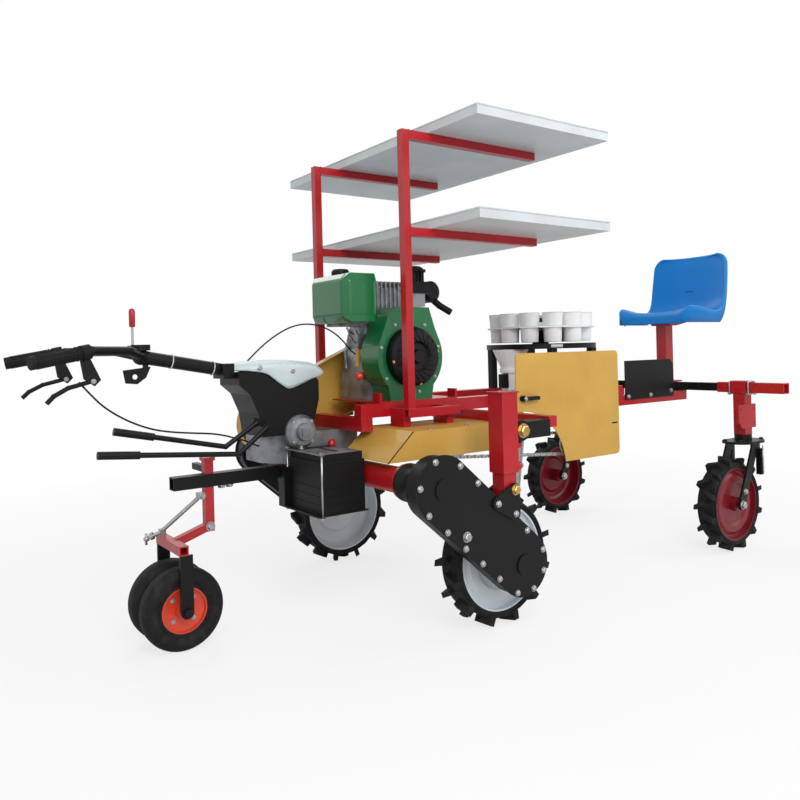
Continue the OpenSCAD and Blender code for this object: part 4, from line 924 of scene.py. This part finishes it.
class TRANSPLANTER_OT_console_cap(bpy.types.Operator):
    """Mould the console's pale cap: one rounded shell with a pointed lower edge, and its bolts"""

    bl_idname = "transplanter.console_cap"
    bl_label = "Console cap"

    # Sections along the machine: place, half width at the shoulder, top, half width and height of the lower edge
    SECTIONS = ((-776, 50, 963, 49, 938), (-752, 68, 966, 66, 936), (-715, 90, 970, 88, 933),
                (-670, 104, 972, 95, 922), (-625, 112, 973, 95, 890), (-583, 117, 972, 95, 866),
                (-535, 118, 969, 95, 879), (-485, 113, 962, 94, 898), (-456, 105, 951, 96, 906),
                (-438, 97, 940, 92, 914))
    # Across a section: share of the half width and drop below the top
    CROWN = ((0, 0), (0.3, 0.6), (0.58, 2.4), (0.8, 6), (0.93, 12), (1, 22))
    STEPS, SIDE_STEPS, BULGE = 5, 3, 2
    BOLTS, BOLT_SIZE = ((-700, -99, 945), (-575, -112, 930)), 0.85

    def execute(self, context):
        wall = context.scene.transplanter_hardware.cap_wall
        rows = smooth_path([Vector(row) for row in self.SECTIONS], self.STEPS)
        grid = [self.section(*row) for row in rows]
        cap = add_piece("cap_shell", lambda shape: shell(shape, grid, wall), "pale_plastic")
        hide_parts("console_cap")
        bolts("cap_bolts", mirrored(bolt_rows(self.BOLTS, LEFT, self.BOLT_SIZE)))
        return {"FINISHED"}

    def section(self, x, half, top, low_half, low):
        crown = [Vector((share * half, top - drop)) for share, drop in self.CROWN]
        waist = Vector(((half + low_half) / 2 + self.BULGE, (crown[-1].y + low) / 2))
        right = crown[:-2] + smooth_path([*crown[-2:], waist, Vector((low_half, low))], self.SIDE_STEPS)
        line = [(-point.x, point.y) for point in reversed(right)] + right[1:]
        return [at(x, y, z) for y, z in line]


class TRANSPLANTER_OT_controls(bpy.types.Operator):
    """Rib the grips, put ties round the neck, and fit the knob and the lever bolts"""

    bl_idname = "transplanter.controls"
    bl_label = "Handlebar and levers"

    GRIP_END, GRIP_BEND, GRIP_RADIUS = (-1470, 225, 985), (-1290, 185, 1018), 20
    # Distances from the grip's end
    RIDGE_RUN, RING_RUN, RIDGES = (16, 60, 132), (138, 148), 14
    NECK, TIES = ((-787, 0, 939), (-1090, 0, 996)), (0.17, 0.66)
    TIE_RADIUS, TIE_EDGE = 24.2, 1.9
    KNOB_FOOT, KNOB = (-1116, 0, 1097), ((8.5, 0), (10, 4), (10.4, 52), (8, 60), (3, 63))
    PIVOT, PLATE_HALF, PIVOT_SIZE = (-1290, -187, 926), 8, 0.7

    def execute(self, context):
        sizes = context.scene.transplanter_hardware
        add_piece("grip_ridges", lambda shape: self.ridges(shape, sizes.rib_radius), "grip_rubber")
        ribs("grip_rings", self.grip_lines(self.RING_RUN), sizes.rib_pitch, self.GRIP_RADIUS, 2 * sizes.rib_radius,
             "grip_rubber")
        low, high = places(self.NECK)
        ties = [low.lerp(high, share) for share in self.TIES]
        lips("neck_ties", ties, high - low, self.TIE_RADIUS, self.TIE_EDGE, "pale_plastic")
        add_turned("speed_knob", self.KNOB_FOOT, UP, self.KNOB, "red_paint", sides=24)
        x, y, z = self.PIVOT
        rows = [(at(x, y + way.y * self.PLATE_HALF, z), way, self.PIVOT_SIZE) for way in (LEFT, RIGHT)]
        bolts("lever_bolts", mirrored(rows))
        return {"FINISHED"}

    def grip_lines(self, run):
        """Points along both grips at distances from their ends"""
        end, bend = at(*self.GRIP_END), at(*self.GRIP_BEND)
        way = (bend - end).normalized()
        line = [end + way * length * MM for length in run]
        return [line, [point * FLIP for point in line]]

    def ridges(self, shape, radius):
        """Lengthwise ridges round each grip"""
        for line in self.grip_lines(self.RIDGE_RUN):
            turn = (line[-1] - line[0]).to_track_quat("Z", "Y")
            for k in range(self.RIDGES):
                spot = polar((0, 0), 1, 2 * math.pi * k / self.RIDGES)
                aside = turn @ Vector((*spot, 0)) * self.GRIP_RADIUS * MM
                sweep(shape, [point + aside for point in line], radius)


class TRANSPLANTER_OT_engine(bpy.types.Operator):
    """Dress the engine: filler cap, tank skin, starter ribs, dipstick, plug, fuel pipes and bolts"""

    bl_idname = "transplanter.engine"
    bl_label = "Engine"

    CRANK = (-100, 970)
    CAP_FOOT, CAP, CAP_RADIUS = (-330, -60, 1290), ((30, 0), (33, 3), (33, 20), (29, 27), (12, 29)), 33
    KNURLS, KNURL, KNURL_Z = 22, 1.8, (3, 11, 20)
    TANK, CHAMFER, TANK_SKIN, TANK_ROUND = ((-405, -210, 1108), (-245, 60, 1290)), 26, 1.4, 7
    # Bolts on a circle round the crank: angles, radius, face and size
    BLOWER_BOLTS = (15, 60, 120, 165, 215, 255, 285, 325), 144, -200, 0.6
    STARTER_BOLTS = (10, 100, 190, 280), 106, -233, 0.75
    HEAD_BOLTS, HEAD_SIZE = ((-150, -50, 1251), (-150, 80, 1251), (-40, -50, 1251), (-40, 80, 1251)), 1.2
    # Starter ribs: radius and face of both ends, lead of the outer end in radians
    RIBS, RIB_IN, RIB_OUT, RIB_LEAD, RIB_RADIUS = 20, (58, -250), (98, -246), 0.35, 3.2
    STICK = ((-252, -46, 935), (-236, -30, 1008))
    PLUG_FOOT, PLUG = (-236, -52, 897), ((15, 0), (17, 4), (17, 16), (12, 20), (12, 28))
    PIPES = (((-215, 0, 1060), (-232, 4, 1100), (-205, 30, 1140), (-170, 40, 1168), (-160, 40, 1200)),
             ((-232, -30, 1012), (-262, -34, 1040), (-290, -44, 1075), (-300, -50, 1112)))
    PIPE_RADIUS = 3.4

    def execute(self, context):
        add_piece("tank_cap", self.filler_cap, "black_plastic")
        add_piece("tank_skin", self.tank_skin, "green_paint")
        bolts("engine_bolts", self.circle_rows(*self.BLOWER_BOLTS) + bolt_rows(self.HEAD_BOLTS, UP, self.HEAD_SIZE))
        bolts("starter_bolts", self.circle_rows(*self.STARTER_BOLTS), finish="gold_zinc")
        add_piece("starter_ribs", self.starter_ribs, "black_plastic")
        add_block("dipstick", self.STICK, "yellow_paint")
        add_turned("oil_plug", self.PLUG_FOOT, FORWARD, self.PLUG, "rim_orange", sides=12)
        add_piece("fuel_pipes", self.pipes, "bright_steel")
        return {"FINISHED"}

    def crank_point(self, radius, y, turn):
        x, z = polar(self.CRANK, radius, turn)
        return at(x, y, z)

    def circle_rows(self, turns, radius, face, size):
        return [(self.crank_point(radius, face, math.radians(turn)), LEFT, size) for turn in turns]

    def filler_cap(self, shape):
        foot = at(*self.CAP_FOOT)
        turned(shape, foot, UP, self.CAP, sides=40)
        for k in range(self.KNURLS):
            spot = polar((0, 0), 1, 2 * math.pi * k / self.KNURLS)
            side = foot + self.CAP_RADIUS * MM * Vector((*spot, 0))
            sweep(shape, [side + UP * height * MM for height in self.KNURL_Z], self.KNURL * MM, sides=6)

    def tank_skin(self, shape):
        """Pressed sheet of the tank: wide chamfers whose edges are rounded"""
        skin = Vector((self.TANK_SKIN,) * 3)
        low, high = (Vector(corner) for corner in self.TANK)
        block(shape, low - skin, high + skin, 0)
        for offset, steps in ((self.CHAMFER, 1), (self.TANK_ROUND, 3)):
            bmesh.ops.bevel(shape, geom=shape.edges[:], offset=offset * MM, segments=steps, profile=0.5,
                            affect="EDGES", clamp_overlap=True)

    def starter_ribs(self, shape):
        for k in range(self.RIBS):
            turn = 2 * math.pi * k / self.RIBS
            inner, outer = self.crank_point(*self.RIB_IN, turn), self.crank_point(*self.RIB_OUT, turn + self.RIB_LEAD)
            sweep(shape, [inner, inner.lerp(outer, 0.5), outer], self.RIB_RADIUS * MM)

    def pipes(self, shape):
        for route in self.PIPES:
            sweep(shape, smooth_path(places(route)), self.PIPE_RADIUS * MM, sides=10)


class TRANSPLANTER_OT_chain_cases(bpy.types.Operator):
    """Bolt the chain cases and their ears, and fit the axle sleeves"""

    bl_idname = "transplanter.chain_cases"
    bl_label = "Chain cases"

    UPPER, LOWER = Vector((-350, 545)), Vector((0, 240))
    FACE, EAR_FACE, RIM = -699, -707, 98
    # Bolts of the rim: distances along both flanks from the upper shaft, and angles round both shafts
    FLANK_ABOVE, FLANK_BELOW = (6, 105, 398), (0, 98, 197, 292, 390)
    UPPER_ARC, LOWER_ARC, RIM_SIZE = (151, 212), (64, 20, -25, -72), 1.0
    BIG, BIG_SIZE = (176, -66), 1.6
    EARS, EAR_SIZE = ((-124, 470), (-44, 425)), 1.05
    EAR_PIN, PIN_SIZE = (-43, 508), 1.7
    SLEEVE = ((63, 0), (66, 2), (66, 14), (64, 16), (64, 104), (66, 106), (66, 122), (63, 126))
    SLEEVE_FOOT = (-350, 505, 545)

    def execute(self, context):
        along = (self.LOWER - self.UPPER).normalized()
        square = Vector((-along.y, along.x))
        spots = [self.UPPER + along * run + square * self.RIM for run in self.FLANK_ABOVE]
        spots += [self.UPPER + along * run - square * self.RIM for run in self.FLANK_BELOW]
        for middle, turns in ((self.UPPER, self.UPPER_ARC), (self.LOWER, self.LOWER_ARC)):
            for turn in turns:
                a, b = polar((0, 0), 1, math.radians(turn))
                spots.append(middle + self.RIM * (along * a + square * b))
        big = self.UPPER + along * self.BIG[0] + square * self.BIG[1]
        rows = self.rows(spots, self.FACE, self.RIM_SIZE) + self.rows([big], self.FACE, self.BIG_SIZE)
        rows += self.rows(self.EARS, self.EAR_FACE, self.EAR_SIZE)
        bolts("case_bolts", mirrored(rows))
        pins = self.rows([self.EAR_PIN], self.EAR_FACE, self.PIN_SIZE)
        bolts("ear_bolts", mirrored(pins), finish="gold_zinc")
        add_piece("axle_sleeves", self.sleeves, "black_paint")
        return {"FINISHED"}

    def rows(self, spots, face, size):
        return bolt_rows([(x, face, z) for x, z in spots], LEFT, size)

    def sleeves(self, shape):
        x, y, z = self.SLEEVE_FOOT
        for side in SIDES:
            turned(shape, at(x, side * y, z), RIGHT * side, self.SLEEVE, sides=48)


class TRANSPLANTER_OT_wheels(bpy.types.Operator):
    """Bolt the guide wheels' rims, fit the rear forks' bolts and stop rods, and bead the tyres"""

    bl_idname = "transplanter.wheels"
    bl_label = "Wheels"

    GUIDE_MIDDLE, GUIDE_Y = (-992, 140), 62
    RIM_FACE, RIM_CIRCLE, RIM_BOLTS, RIM_SIZE = -75.5, 50, 4, 0.75
    GUIDE_RIBS, GUIDE_RIB_RADIUS, RIB_EDGE = (-12, 0, 12), 138.8, 1.7
    # Tyre beads: radius, distance from the tyre's middle and edge radius
    DRIVE_BEAD, REAR_BEAD, GUIDE_BEAD = (202, 49.4, 2.4), (186, 45.4, 2.2), (86, 32, 2.2)
    FORK_SIDE, AXLE_SIZE, LEG_BOLT, LEG_SIZE = 70, 1.9, Vector((26, 0, 60)), 1.25
    SWIVEL_BOLTS, SWIVEL_TOP = (92, 40), 512
    # Stop rod: place from the swivel and the axle, heights and radius
    ROD, ROD_Z, ROD_RADIUS = (15, 90), (356, 420, 490), 4

    def execute(self, context):
        self.guide_wheels()
        for side, sign in zip(("left", "right"), SIDES):
            self.rear_wheel(side, sign)
            body = "drive_wheel_" + side
            self.beads("drive_bead_" + side, [JOINTS[body + "_axle"]], self.DRIVE_BEAD, body)
        return {"FINISHED"}

    def beads(self, name, middles, bead, body):
        radius, offset, edge = bead
        rings = [middle + side * offset * MM * RIGHT for middle in middles for side in SIDES]
        lips(name, rings, RIGHT, radius, edge, "tyre_rubber", body)

    def guide_wheels(self):
        x, z = self.GUIDE_MIDDLE
        turns = [math.pi * (0.25 + 2 * k / self.RIM_BOLTS) for k in range(self.RIM_BOLTS)]
        spots = [polar(self.GUIDE_MIDDLE, self.RIM_CIRCLE, turn) for turn in turns]
        rows = bolt_rows([(i, self.RIM_FACE, j) for i, j in spots], LEFT, self.RIM_SIZE)
        bolts("guide_rim_bolts", mirrored(rows), "guide_wheels")
        rings = [at(x, side * self.GUIDE_Y + y, z) for side in SIDES for y in self.GUIDE_RIBS]
        lips("guide_ribs", rings, RIGHT, self.GUIDE_RIB_RADIUS, self.RIB_EDGE, "tyre_rubber", "guide_wheels")
        self.beads("guide_beads", [at(x, side * self.GUIDE_Y, z) for side in SIDES], self.GUIDE_BEAD, "guide_wheels")

    def rear_wheel(self, side, sign):
        caster, body = "caster_" + side, "rear_wheel_" + side
        axle, pin = JOINTS[body + "_axle"], JOINTS[caster + "_swivel"]
        rows = []
        for way in (LEFT, RIGHT):
            face = axle + way * self.FORK_SIDE * MM
            rows += [(face, way, self.AXLE_SIZE), (face + self.LEG_BOLT * MM, way, self.LEG_SIZE)]
        bolts("fork_bolts_" + side, rows, caster)
        top = Vector((pin.x, pin.y, self.SWIVEL_TOP * MM))
        dx, dy = self.SWIVEL_BOLTS
        corners = [(top + Vector((i * dx, j * dy, 0)) * MM, UP, 1.0) for i in SIDES for j in SIDES]
        bolts("swivel_bolts_" + side, corners, caster, "black_paint")
        dx, dy = self.ROD
        rod = [Vector((pin.x, axle.y, 0)) + Vector((dx, sign * dy, z)) * MM for z in self.ROD_Z]
        add_tube("stop_rod_" + side, rod, self.ROD_RADIUS * MM, "bright_steel", caster, sides=10)
        self.beads("rear_bead_" + side, [axle], self.REAR_BEAD, body)


class TRANSPLANTER_OT_frame_hardware(bpy.types.Operator):
    """Bolt and weld the columns, the rack posts, the guards and the rear end"""

    bl_idname = "transplanter.frame_hardware"
    bl_label = "Frame hardware"

    COLUMN_Y, COLUMN_FACE, TAB_Z, TAB_SIZE = 666, -3, (580, 654), 1.15
    BOSS = ((14, 0), (14, 22), (12, 25))
    ARM_BOLT, ARM_SIZE = (11, -694, 705), 2.3
    GUARD_BOLTS = ((1205, -228, 738), (1550, -228, 752), (1380, -228, 738))
    CHAIN_GUARD_BOLTS = ((-190, -430, 708), (-20, -430, 708), (110, -430, 708), (110, -165, 708))
    BELT_FACE, BELT_BOLTS = 175, ((-640, 770), (-520, 640), (-300, 690), (0, 850), (-30, 1020), (-330, 930))
    COVER, COVER_BOSS, COVER_SIZE = (-540, -114, 705), 35.4, 0.7
    GUARD_SIZE = 0.9
    LATCH_BOLT, LATCH_SIZE = (380, -346, 780), 0.8
    SEAT_BOLT, SEAT_SIZE = (1685, -125, 1040), 1.2
    # Black block behind the side panel's slit: painted shade, a dark sheet where the slit shows only shade
    SLIT_SHADE_BLOCK = ((954, -320.2, 628), (1001, -317.2, 641))
    SEAM, SEAM_RADIUS = ((-396, -450.6, 606), (-283, -450.6, 708.4)), 1.8
    # Welds on both sides: place, half width and way of the tube, for the rack arms and posts, columns and casters
    PAIRED_WELDS = ((-191, 328, 1799, 16, "X"), (-191, 328, 1437, 16, "X"), (-207, 328, 777, 16, "Z"),
                    (-55, 666, 565, 29, "Z"), (1655, 556, 745, 30, "Z"))
    SEAT_WELD = (1655, -125, 799, 30, "Z")
    # Hoops over the crossbar, each with a clamp plate under it
    BAR, HOOPS, HOOP_HALF, HOOP_CORNER, HOOP_RADIUS = (1655, 770), (508, 604), 29, 8, 4.2
    PLATE_OVER, PLATE_HALF, PLATE_Z = 8, 7, (-4, 3.6)

    def execute(self, context):
        tip = self.COLUMN_FACE + self.BOSS[-1][1]
        rows = bolt_rows([(tip, -self.COLUMN_Y, z) for z in self.TAB_Z], BACKWARD, self.TAB_SIZE)
        rows = mirrored(rows + bolt_rows(self.GUARD_BOLTS, LEFT, 1.0))
        rows += bolt_rows(self.CHAIN_GUARD_BOLTS, UP, self.GUARD_SIZE)
        rows += bolt_rows([(x, self.BELT_FACE, z) for x, z in self.BELT_BOLTS], RIGHT, self.GUARD_SIZE)
        x, y, z = self.COVER
        cover = [(x + i * self.COVER_BOSS, y, z + j * self.COVER_BOSS) for i in SIDES for j in SIDES]
        rows += bolt_rows(cover, LEFT, self.COVER_SIZE)
        rows += bolt_rows([self.LATCH_BOLT], LEFT, self.LATCH_SIZE)
        rows += bolt_rows([self.SEAT_BOLT], BACKWARD, self.SEAT_SIZE)
        bolts("frame_bolts", rows)
        bolts("arm_bolts", mirrored(bolt_rows([self.ARM_BOLT], LEFT, self.ARM_SIZE)), finish="gold_zinc")
        # Painted shade: a black block behind the panel's slit
        add_block("panel_slit", self.SLIT_SHADE_BLOCK, "black_plastic", bevel=0)
        add_piece("column_bosses", self.bosses, "red_paint")
        add_piece("sleeve_hoops", self.hoops, "bright_steel")
        add_tube("guard_seam", places(self.SEAM), self.SEAM_RADIUS * MM, "black_plastic")
        seams = [square_seam(x, side * y, z, half, way) for x, y, z, half, way in self.PAIRED_WELDS for side in SIDES]
        welds("frame_welds", seams + [square_seam(*self.SEAT_WELD)], "red_paint")
        return {"FINISHED"}

    def bosses(self, shape):
        for side in SIDES:
            for z in self.TAB_Z:
                turned(shape, at(self.COLUMN_FACE, side * self.COLUMN_Y, z), BACKWARD, self.BOSS, sides=24)

    def hoops(self, shape):
        x, z = self.BAR
        half, corner = self.HOOP_HALF, self.HOOP_CORNER
        rising = [(-half, -half - corner), (-half, half - corner), (-half + corner, half)]
        outline = rising + [(-dx, dz) for dx, dz in reversed(rising)]
        over, (low, high) = half + self.PLATE_OVER, self.PLATE_Z
        for hoop in self.HOOPS:
            for y in (side * hoop for side in SIDES):
                path = smooth_path([at(x + dx, y, z + dz) for dx, dz in outline], steps=4)
                sweep(shape, path, self.HOOP_RADIUS * MM, sides=10)
                block(shape, (x - over, y - self.PLATE_HALF, z - half + low),
                      (x + over, y + self.PLATE_HALF, z - half + high))


class TRANSPLANTER_OT_guide_details(bpy.types.Operator):
    """Thread the guide link and fit the guide post's bolts, bar and wing nut"""

    bl_idname = "transplanter.guide_details"
    bl_label = "Guide post"

    LINK, THREADED = ((-892, 0, 500), (-1014, 81, 374)), (0.06, 0.95)
    LINK_RADIUS, THREAD_EDGE = 7, 0.9
    HINGE_BOLT, LINK_BOLT, LINK_SIZE = (-866, -16, 390), (-890, -12, 500), 1.1
    BEAM_BOLTS = ((-815, 0, 530.5), (-785, 0, 530.5))
    AXLE_NUT, BIG_SIZE = (-992, -121, 140), 1.5
    BAR = ((-878, 16, 578), (-854, 124, 602))
    # Wing nut: its middle, half length and radius of the wings, way along the screw, and hub
    WING_AT, WING_HALF, WING_RADIUS = (-1056, 104, 353), 20, 4.5
    WING_WAY, HUB, HUB_BEHIND = Vector((-52, 22, -18)), ((9, 0), (9, 12), (6, 16)), 8

    def execute(self, context):
        sizes = context.scene.transplanter_hardware
        first, last = places(self.LINK)
        thread = [first.lerp(last, share) for share in self.THREADED]
        ribs("link_thread", [thread], sizes.thread_pitch, self.LINK_RADIUS, self.THREAD_EDGE * MM, "bright_steel")
        hinge = bolt_rows([self.HINGE_BOLT], LEFT, self.BIG_SIZE)
        rows = mirrored(hinge) + bolt_rows([self.LINK_BOLT], LEFT, self.LINK_SIZE)
        bolts("guide_bolts", rows + bolt_rows(self.BEAM_BOLTS, DOWN, self.BIG_SIZE))
        nuts = mirrored(bolt_rows([self.AXLE_NUT], LEFT, self.BIG_SIZE))
        bolts("guide_axle_nuts", nuts, slot="black_paint")
        add_block("post_bar", self.BAR, "black_paint", bevel=2)
        add_piece("wing_nut", self.wing_nut, "bright_steel")
        return {"FINISHED"}

    def wing_nut(self, shape):
        middle = at(*self.WING_AT)
        wings = [middle + UP * height * MM for height in (self.WING_HALF, 0, -self.WING_HALF)]
        sweep(shape, wings, self.WING_RADIUS * MM)
        way = self.WING_WAY.normalized()
        turned(shape, middle - way * self.HUB_BEHIND * MM, way, self.HUB, sides=12)


class TRANSPLANTER_OT_battery(bpy.types.Operator):
    """Fit the battery's lid, terminals, hold-down rods and panel ribs"""

    bl_idname = "transplanter.battery"
    bl_label = "Battery"

    LOW, HIGH = (-575, -315, 432), (-405, -72, 640)
    # Band round the lid: how far it stands out and reaches in, and its heights below the top
    BAND_OUT, BAND_IN, BAND_Z = 1, 4, (-34, -26)
    # Panel ribs: heights, thickness, how far they stand out and reach in, and their ends from the corners
    RIB_Z, RIB_HIGH, RIB_OUT, RIB_IN, RIB_BEVEL = (430, 460, 490, 520), 4, 2, 1, 0.6
    NEAR_RIB, FRONT_RIB = (-150, -20), (30, -40)
    # Filler plugs: count, first one's distance from the near side, pitch and profile
    PLUGS, PLUG_FIRST, PLUG_PITCH, PLUG = 6, 60, 26, ((9.5, 0), (9.5, 3), (8, 4))
    RODS, ROD_Z, ROD_RADIUS = ((-583, -322), (-583, -66)), (424, 540, 652), 3.6
    NUT_Z, NUT_SIZE = (645, 426), 0.9
    STRAP, STRAP_BEVEL = ((-590, -329, 640.5), (-576, -59, 644)), 0.8
    TERMINALS = ((-545, -105, 640), (-422, -118, 640))
    TERMINAL = ((13, 0), (13, 3), (9, 5), (8, 16), (6.5, 18))
    BOOT_FOOT, BOOT = (-422, -118, 642), ((16, 0), (17, 4), (15, 18), (8, 25))
    PLATE = ((-560, -300, 639), (-420, -140, 642))

    def execute(self, context):
        add_piece("battery_lid", self.lid, "black_plastic")
        add_block("battery_plate", self.PLATE, "cast_alloy")
        add_piece("hold_down", self.hold_down, "bright_steel")
        add_piece("battery_posts", self.posts, "bright_steel")
        add_turned("terminal_boot", self.BOOT_FOOT, UP, self.BOOT, "red_paint", sides=20)
        rows = []
        for z, way in zip(self.NUT_Z, (UP, DOWN)):
            rows += bolt_rows([(x, y, z) for x, y in self.RODS], way, self.NUT_SIZE)
        bolts("hold_down_nuts", rows)
        return {"FINISHED"}

    def lid(self, shape):
        x0, y0, _ = self.LOW
        x1, y1, top = self.HIGH
        out, inner = self.BAND_OUT, self.BAND_IN
        low, high = (top + drop for drop in self.BAND_Z)
        block(shape, (x0 - out, y0 - out, low), (x1 + out, y0 + inner, high))
        block(shape, (x0 - out, y0 - out, low), (x0 + inner, y1 + out, high))
        out, inner = self.RIB_OUT, self.RIB_IN
        for low in self.RIB_Z:
            high = low + self.RIB_HIGH
            start, end = (x1 + gap for gap in self.NEAR_RIB)
            block(shape, (start, y0 - out, low), (end, y0 + inner, high), self.RIB_BEVEL)
            start, end = y0 + self.FRONT_RIB[0], y1 + self.FRONT_RIB[1]
            block(shape, (x0 - out, start, low), (x0 + inner, end, high), self.RIB_BEVEL)
        for k in range(self.PLUGS):
            y = y0 + self.PLUG_FIRST + self.PLUG_PITCH * k
            turned(shape, at((x0 + x1) / 2, y, top), UP, self.PLUG, sides=20)

    def posts(self, shape):
        for foot in places(self.TERMINALS):
            turned(shape, foot, UP, self.TERMINAL, sides=20)

    def hold_down(self, shape):
        for x, y in self.RODS:
            sweep(shape, [at(x, y, z) for z in self.ROD_Z], self.ROD_RADIUS * MM, sides=10)
        block(shape, *self.STRAP, self.STRAP_BEVEL)


class TRANSPLANTER_OT_planter(bpy.types.Operator):
    """Lip the cups, pin the chain's links and fit the base plate's and funnel's small parts"""

    bl_idname = "transplanter.planter"
    bl_label = "Planter"

    SPINDLE, SPINDLE_TOP, SPINDLE_SIZE = (836, 0), 1135, 1.7
    CUP_CIRCLE, CUP_COUNT, LIP_EDGE = 203, 12, 1.9
    # Height and radius of the cups' lips, and of their collars on the ring
    CUP_LIP, CUP_COLLAR = (1151, 47), (1089, 45)
    # Pale slot on the base plate's edge: angles in degrees, radius, heights, steps and wall
    SLOT_TURNS, SLOT_RADIUS, SLOT_Z, SLOT_STEPS, SLOT_WALL = (-126, -114), 262.8, (990, 1004), 8, 1.2
    FUNNEL_BOX, BOX_BEVEL = ((555, -28, 806), (592, 6, 872)), 4
    CHAIN_A, CHAIN_B, CHAIN_RADIUS = Vector((60, 612)), Vector((690, 562)), 46
    CHAIN_PITCH, CHAIN_Y = 19.05, -285
    PIN_FACE, PIN_RADIUS, PIN_HEAD = 7.5, 3.2, 2.2

    def execute(self, context):
        turns = [2 * math.pi * k / self.CUP_COUNT for k in range(self.CUP_COUNT)]
        for name, (z, radius) in (("cup_lips", self.CUP_LIP), ("cup_collars", self.CUP_COLLAR)):
            rings = [at(*polar(self.SPINDLE, self.CUP_CIRCLE, turn), z) for turn in turns]
            lips(name, rings, UP, radius, self.LIP_EDGE, "pale_plastic", "carousel")
        bolts("spindle_nut", bolt_rows([(*self.SPINDLE, self.SPINDLE_TOP)], UP, self.SPINDLE_SIZE))
        add_piece("plate_slot", self.plate_slot, "pale_plastic")
        add_block("funnel_box", self.FUNNEL_BOX, "black_plastic", self.BOX_BEVEL)
        self.chain_pins()
        return {"FINISHED"}

    def plate_slot(self, shape):
        start, end = self.SLOT_TURNS
        turns = [math.radians(start + (end - start) * k / self.SLOT_STEPS) for k in range(self.SLOT_STEPS + 1)]
        spots = [polar(self.SPINDLE, self.SLOT_RADIUS, turn) for turn in turns]
        shell(shape, [[at(*spot, z) for z in self.SLOT_Z] for spot in spots], self.SLOT_WALL * MM)

    def chain_pins(self):
        """Two pins on each outer link, on both faces of the chain"""
        along = self.CHAIN_B - self.CHAIN_A
        length, arc = along.length, math.pi * self.CHAIN_RADIUS
        along.normalize()
        loop = 2 * length + 2 * arc
        count = 2 * round(loop / self.CHAIN_PITCH / 2)
        rows = []
        for k in range(1, count, 2):
            for shift in (-0.5, 0.5):
                spot = self.chain_point((k + shift) * loop / count % loop, along, length, arc)
                for way in (LEFT, RIGHT):
                    rows.append((at(spot.x, self.CHAIN_Y + way.y * self.PIN_FACE, spot.y), way, 1.0))
        rivets("chain_pins", rows, self.PIN_RADIUS, self.PIN_HEAD, "bright_steel")

    def chain_point(self, run, along, length, arc):
        """Point of the chain's loop at a run from the front end of its lower strand"""
        square = Vector((-along.y, along.x))
        for wheel, strand, way in ((self.CHAIN_A, -square, along), (self.CHAIN_B, square, -along)):
            if run < length:
                return wheel + strand * self.CHAIN_RADIUS + way * run
            run -= length
            if run < arc:
                a, b = polar((0, 0), 1, run / self.CHAIN_RADIUS - math.pi / 2)
                middle = wheel + way * length
                return middle + self.CHAIN_RADIUS * (way * a - strand * b)
            run -= arc


class TRANSPLANTER_OT_racks(bpy.types.Operator):
    """Roll the hems of the seedling trays and bolt them to the rack arms"""

    bl_idname = "transplanter.racks"
    bl_label = "Seedling racks"

    CORNERS, TOPS, FLOOR = ((-101, -625), (597, -625), (597, 775), (-101, 775)), (1853, 1491), 35
    # Places of the hem's rings along a side, close to the corners so that these stay sharp
    HEM_SHARES = (0.004, 0.5, 0.996)
    ARM_Y, BOLT_X, BOLT_SIZE = 328, (-60, 180, 430), 0.8

    def execute(self, context):
        radius = context.scene.transplanter_hardware.hem_radius
        add_piece("tray_hems", lambda shape: self.hems(shape, radius), "grey_sheet")
        spots = [(x, side * self.ARM_Y, top - self.FLOOR) for top in self.TOPS for side in SIDES for x in self.BOLT_X]
        bolts("tray_bolts", bolt_rows(spots, UP, self.BOLT_SIZE))
        return {"FINISHED"}

    def hems(self, shape, radius):
        for top in self.TOPS:
            points = [at(x, y, top) - UP * radius for x, y in self.CORNERS]
            line = [a.lerp(b, share) for a, b in zip(points, points[1:] + points[:1]) for share in self.HEM_SHARES]
            sweep(shape, line, radius, closed=True)


class TRANSPLANTER_PT_panel(bpy.types.Panel):
    """Buttons for the looks, in the 3D view's sidebar"""

    bl_label = "Transplanter"
    bl_space_type = "VIEW_3D"
    bl_region_type = "UI"
    bl_category = "Transplanter"

    def draw(self, context):
        for operator in OPERATORS:
            self.layout.operator(operator.bl_idname)


SETTINGS = {
    "transplanter_paint": PaintSettings,
    "transplanter_hardware": HardwareSizes,
    "transplanter_stage": StageSettings,
}
OPERATORS = (
    TRANSPLANTER_OT_stage,
    TRANSPLANTER_OT_finishes,
    TRANSPLANTER_OT_cables,
    TRANSPLANTER_OT_seat,
    TRANSPLANTER_OT_console_cap,
    TRANSPLANTER_OT_controls,
    TRANSPLANTER_OT_engine,
    TRANSPLANTER_OT_chain_cases,
    TRANSPLANTER_OT_wheels,
    TRANSPLANTER_OT_frame_hardware,
    TRANSPLANTER_OT_guide_details,
    TRANSPLANTER_OT_battery,
    TRANSPLANTER_OT_planter,
    TRANSPLANTER_OT_racks,
)
CLASSES = (*SETTINGS.values(), *OPERATORS, TRANSPLANTER_PT_panel)


def register():
    for entry in CLASSES:
        bpy.utils.register_class(entry)
    for name, group in SETTINGS.items():
        setattr(bpy.types.Scene, name, PointerProperty(type=group))


def unregister():
    for name in SETTINGS:
        delattr(bpy.types.Scene, name)
    for entry in reversed(CLASSES):
        bpy.utils.unregister_class(entry)


def main():
    register()
    for operator in OPERATORS:
        group, name = operator.bl_idname.split(".")
        getattr(getattr(bpy.ops, group), name)()


if __name__ == "__main__":
    main()
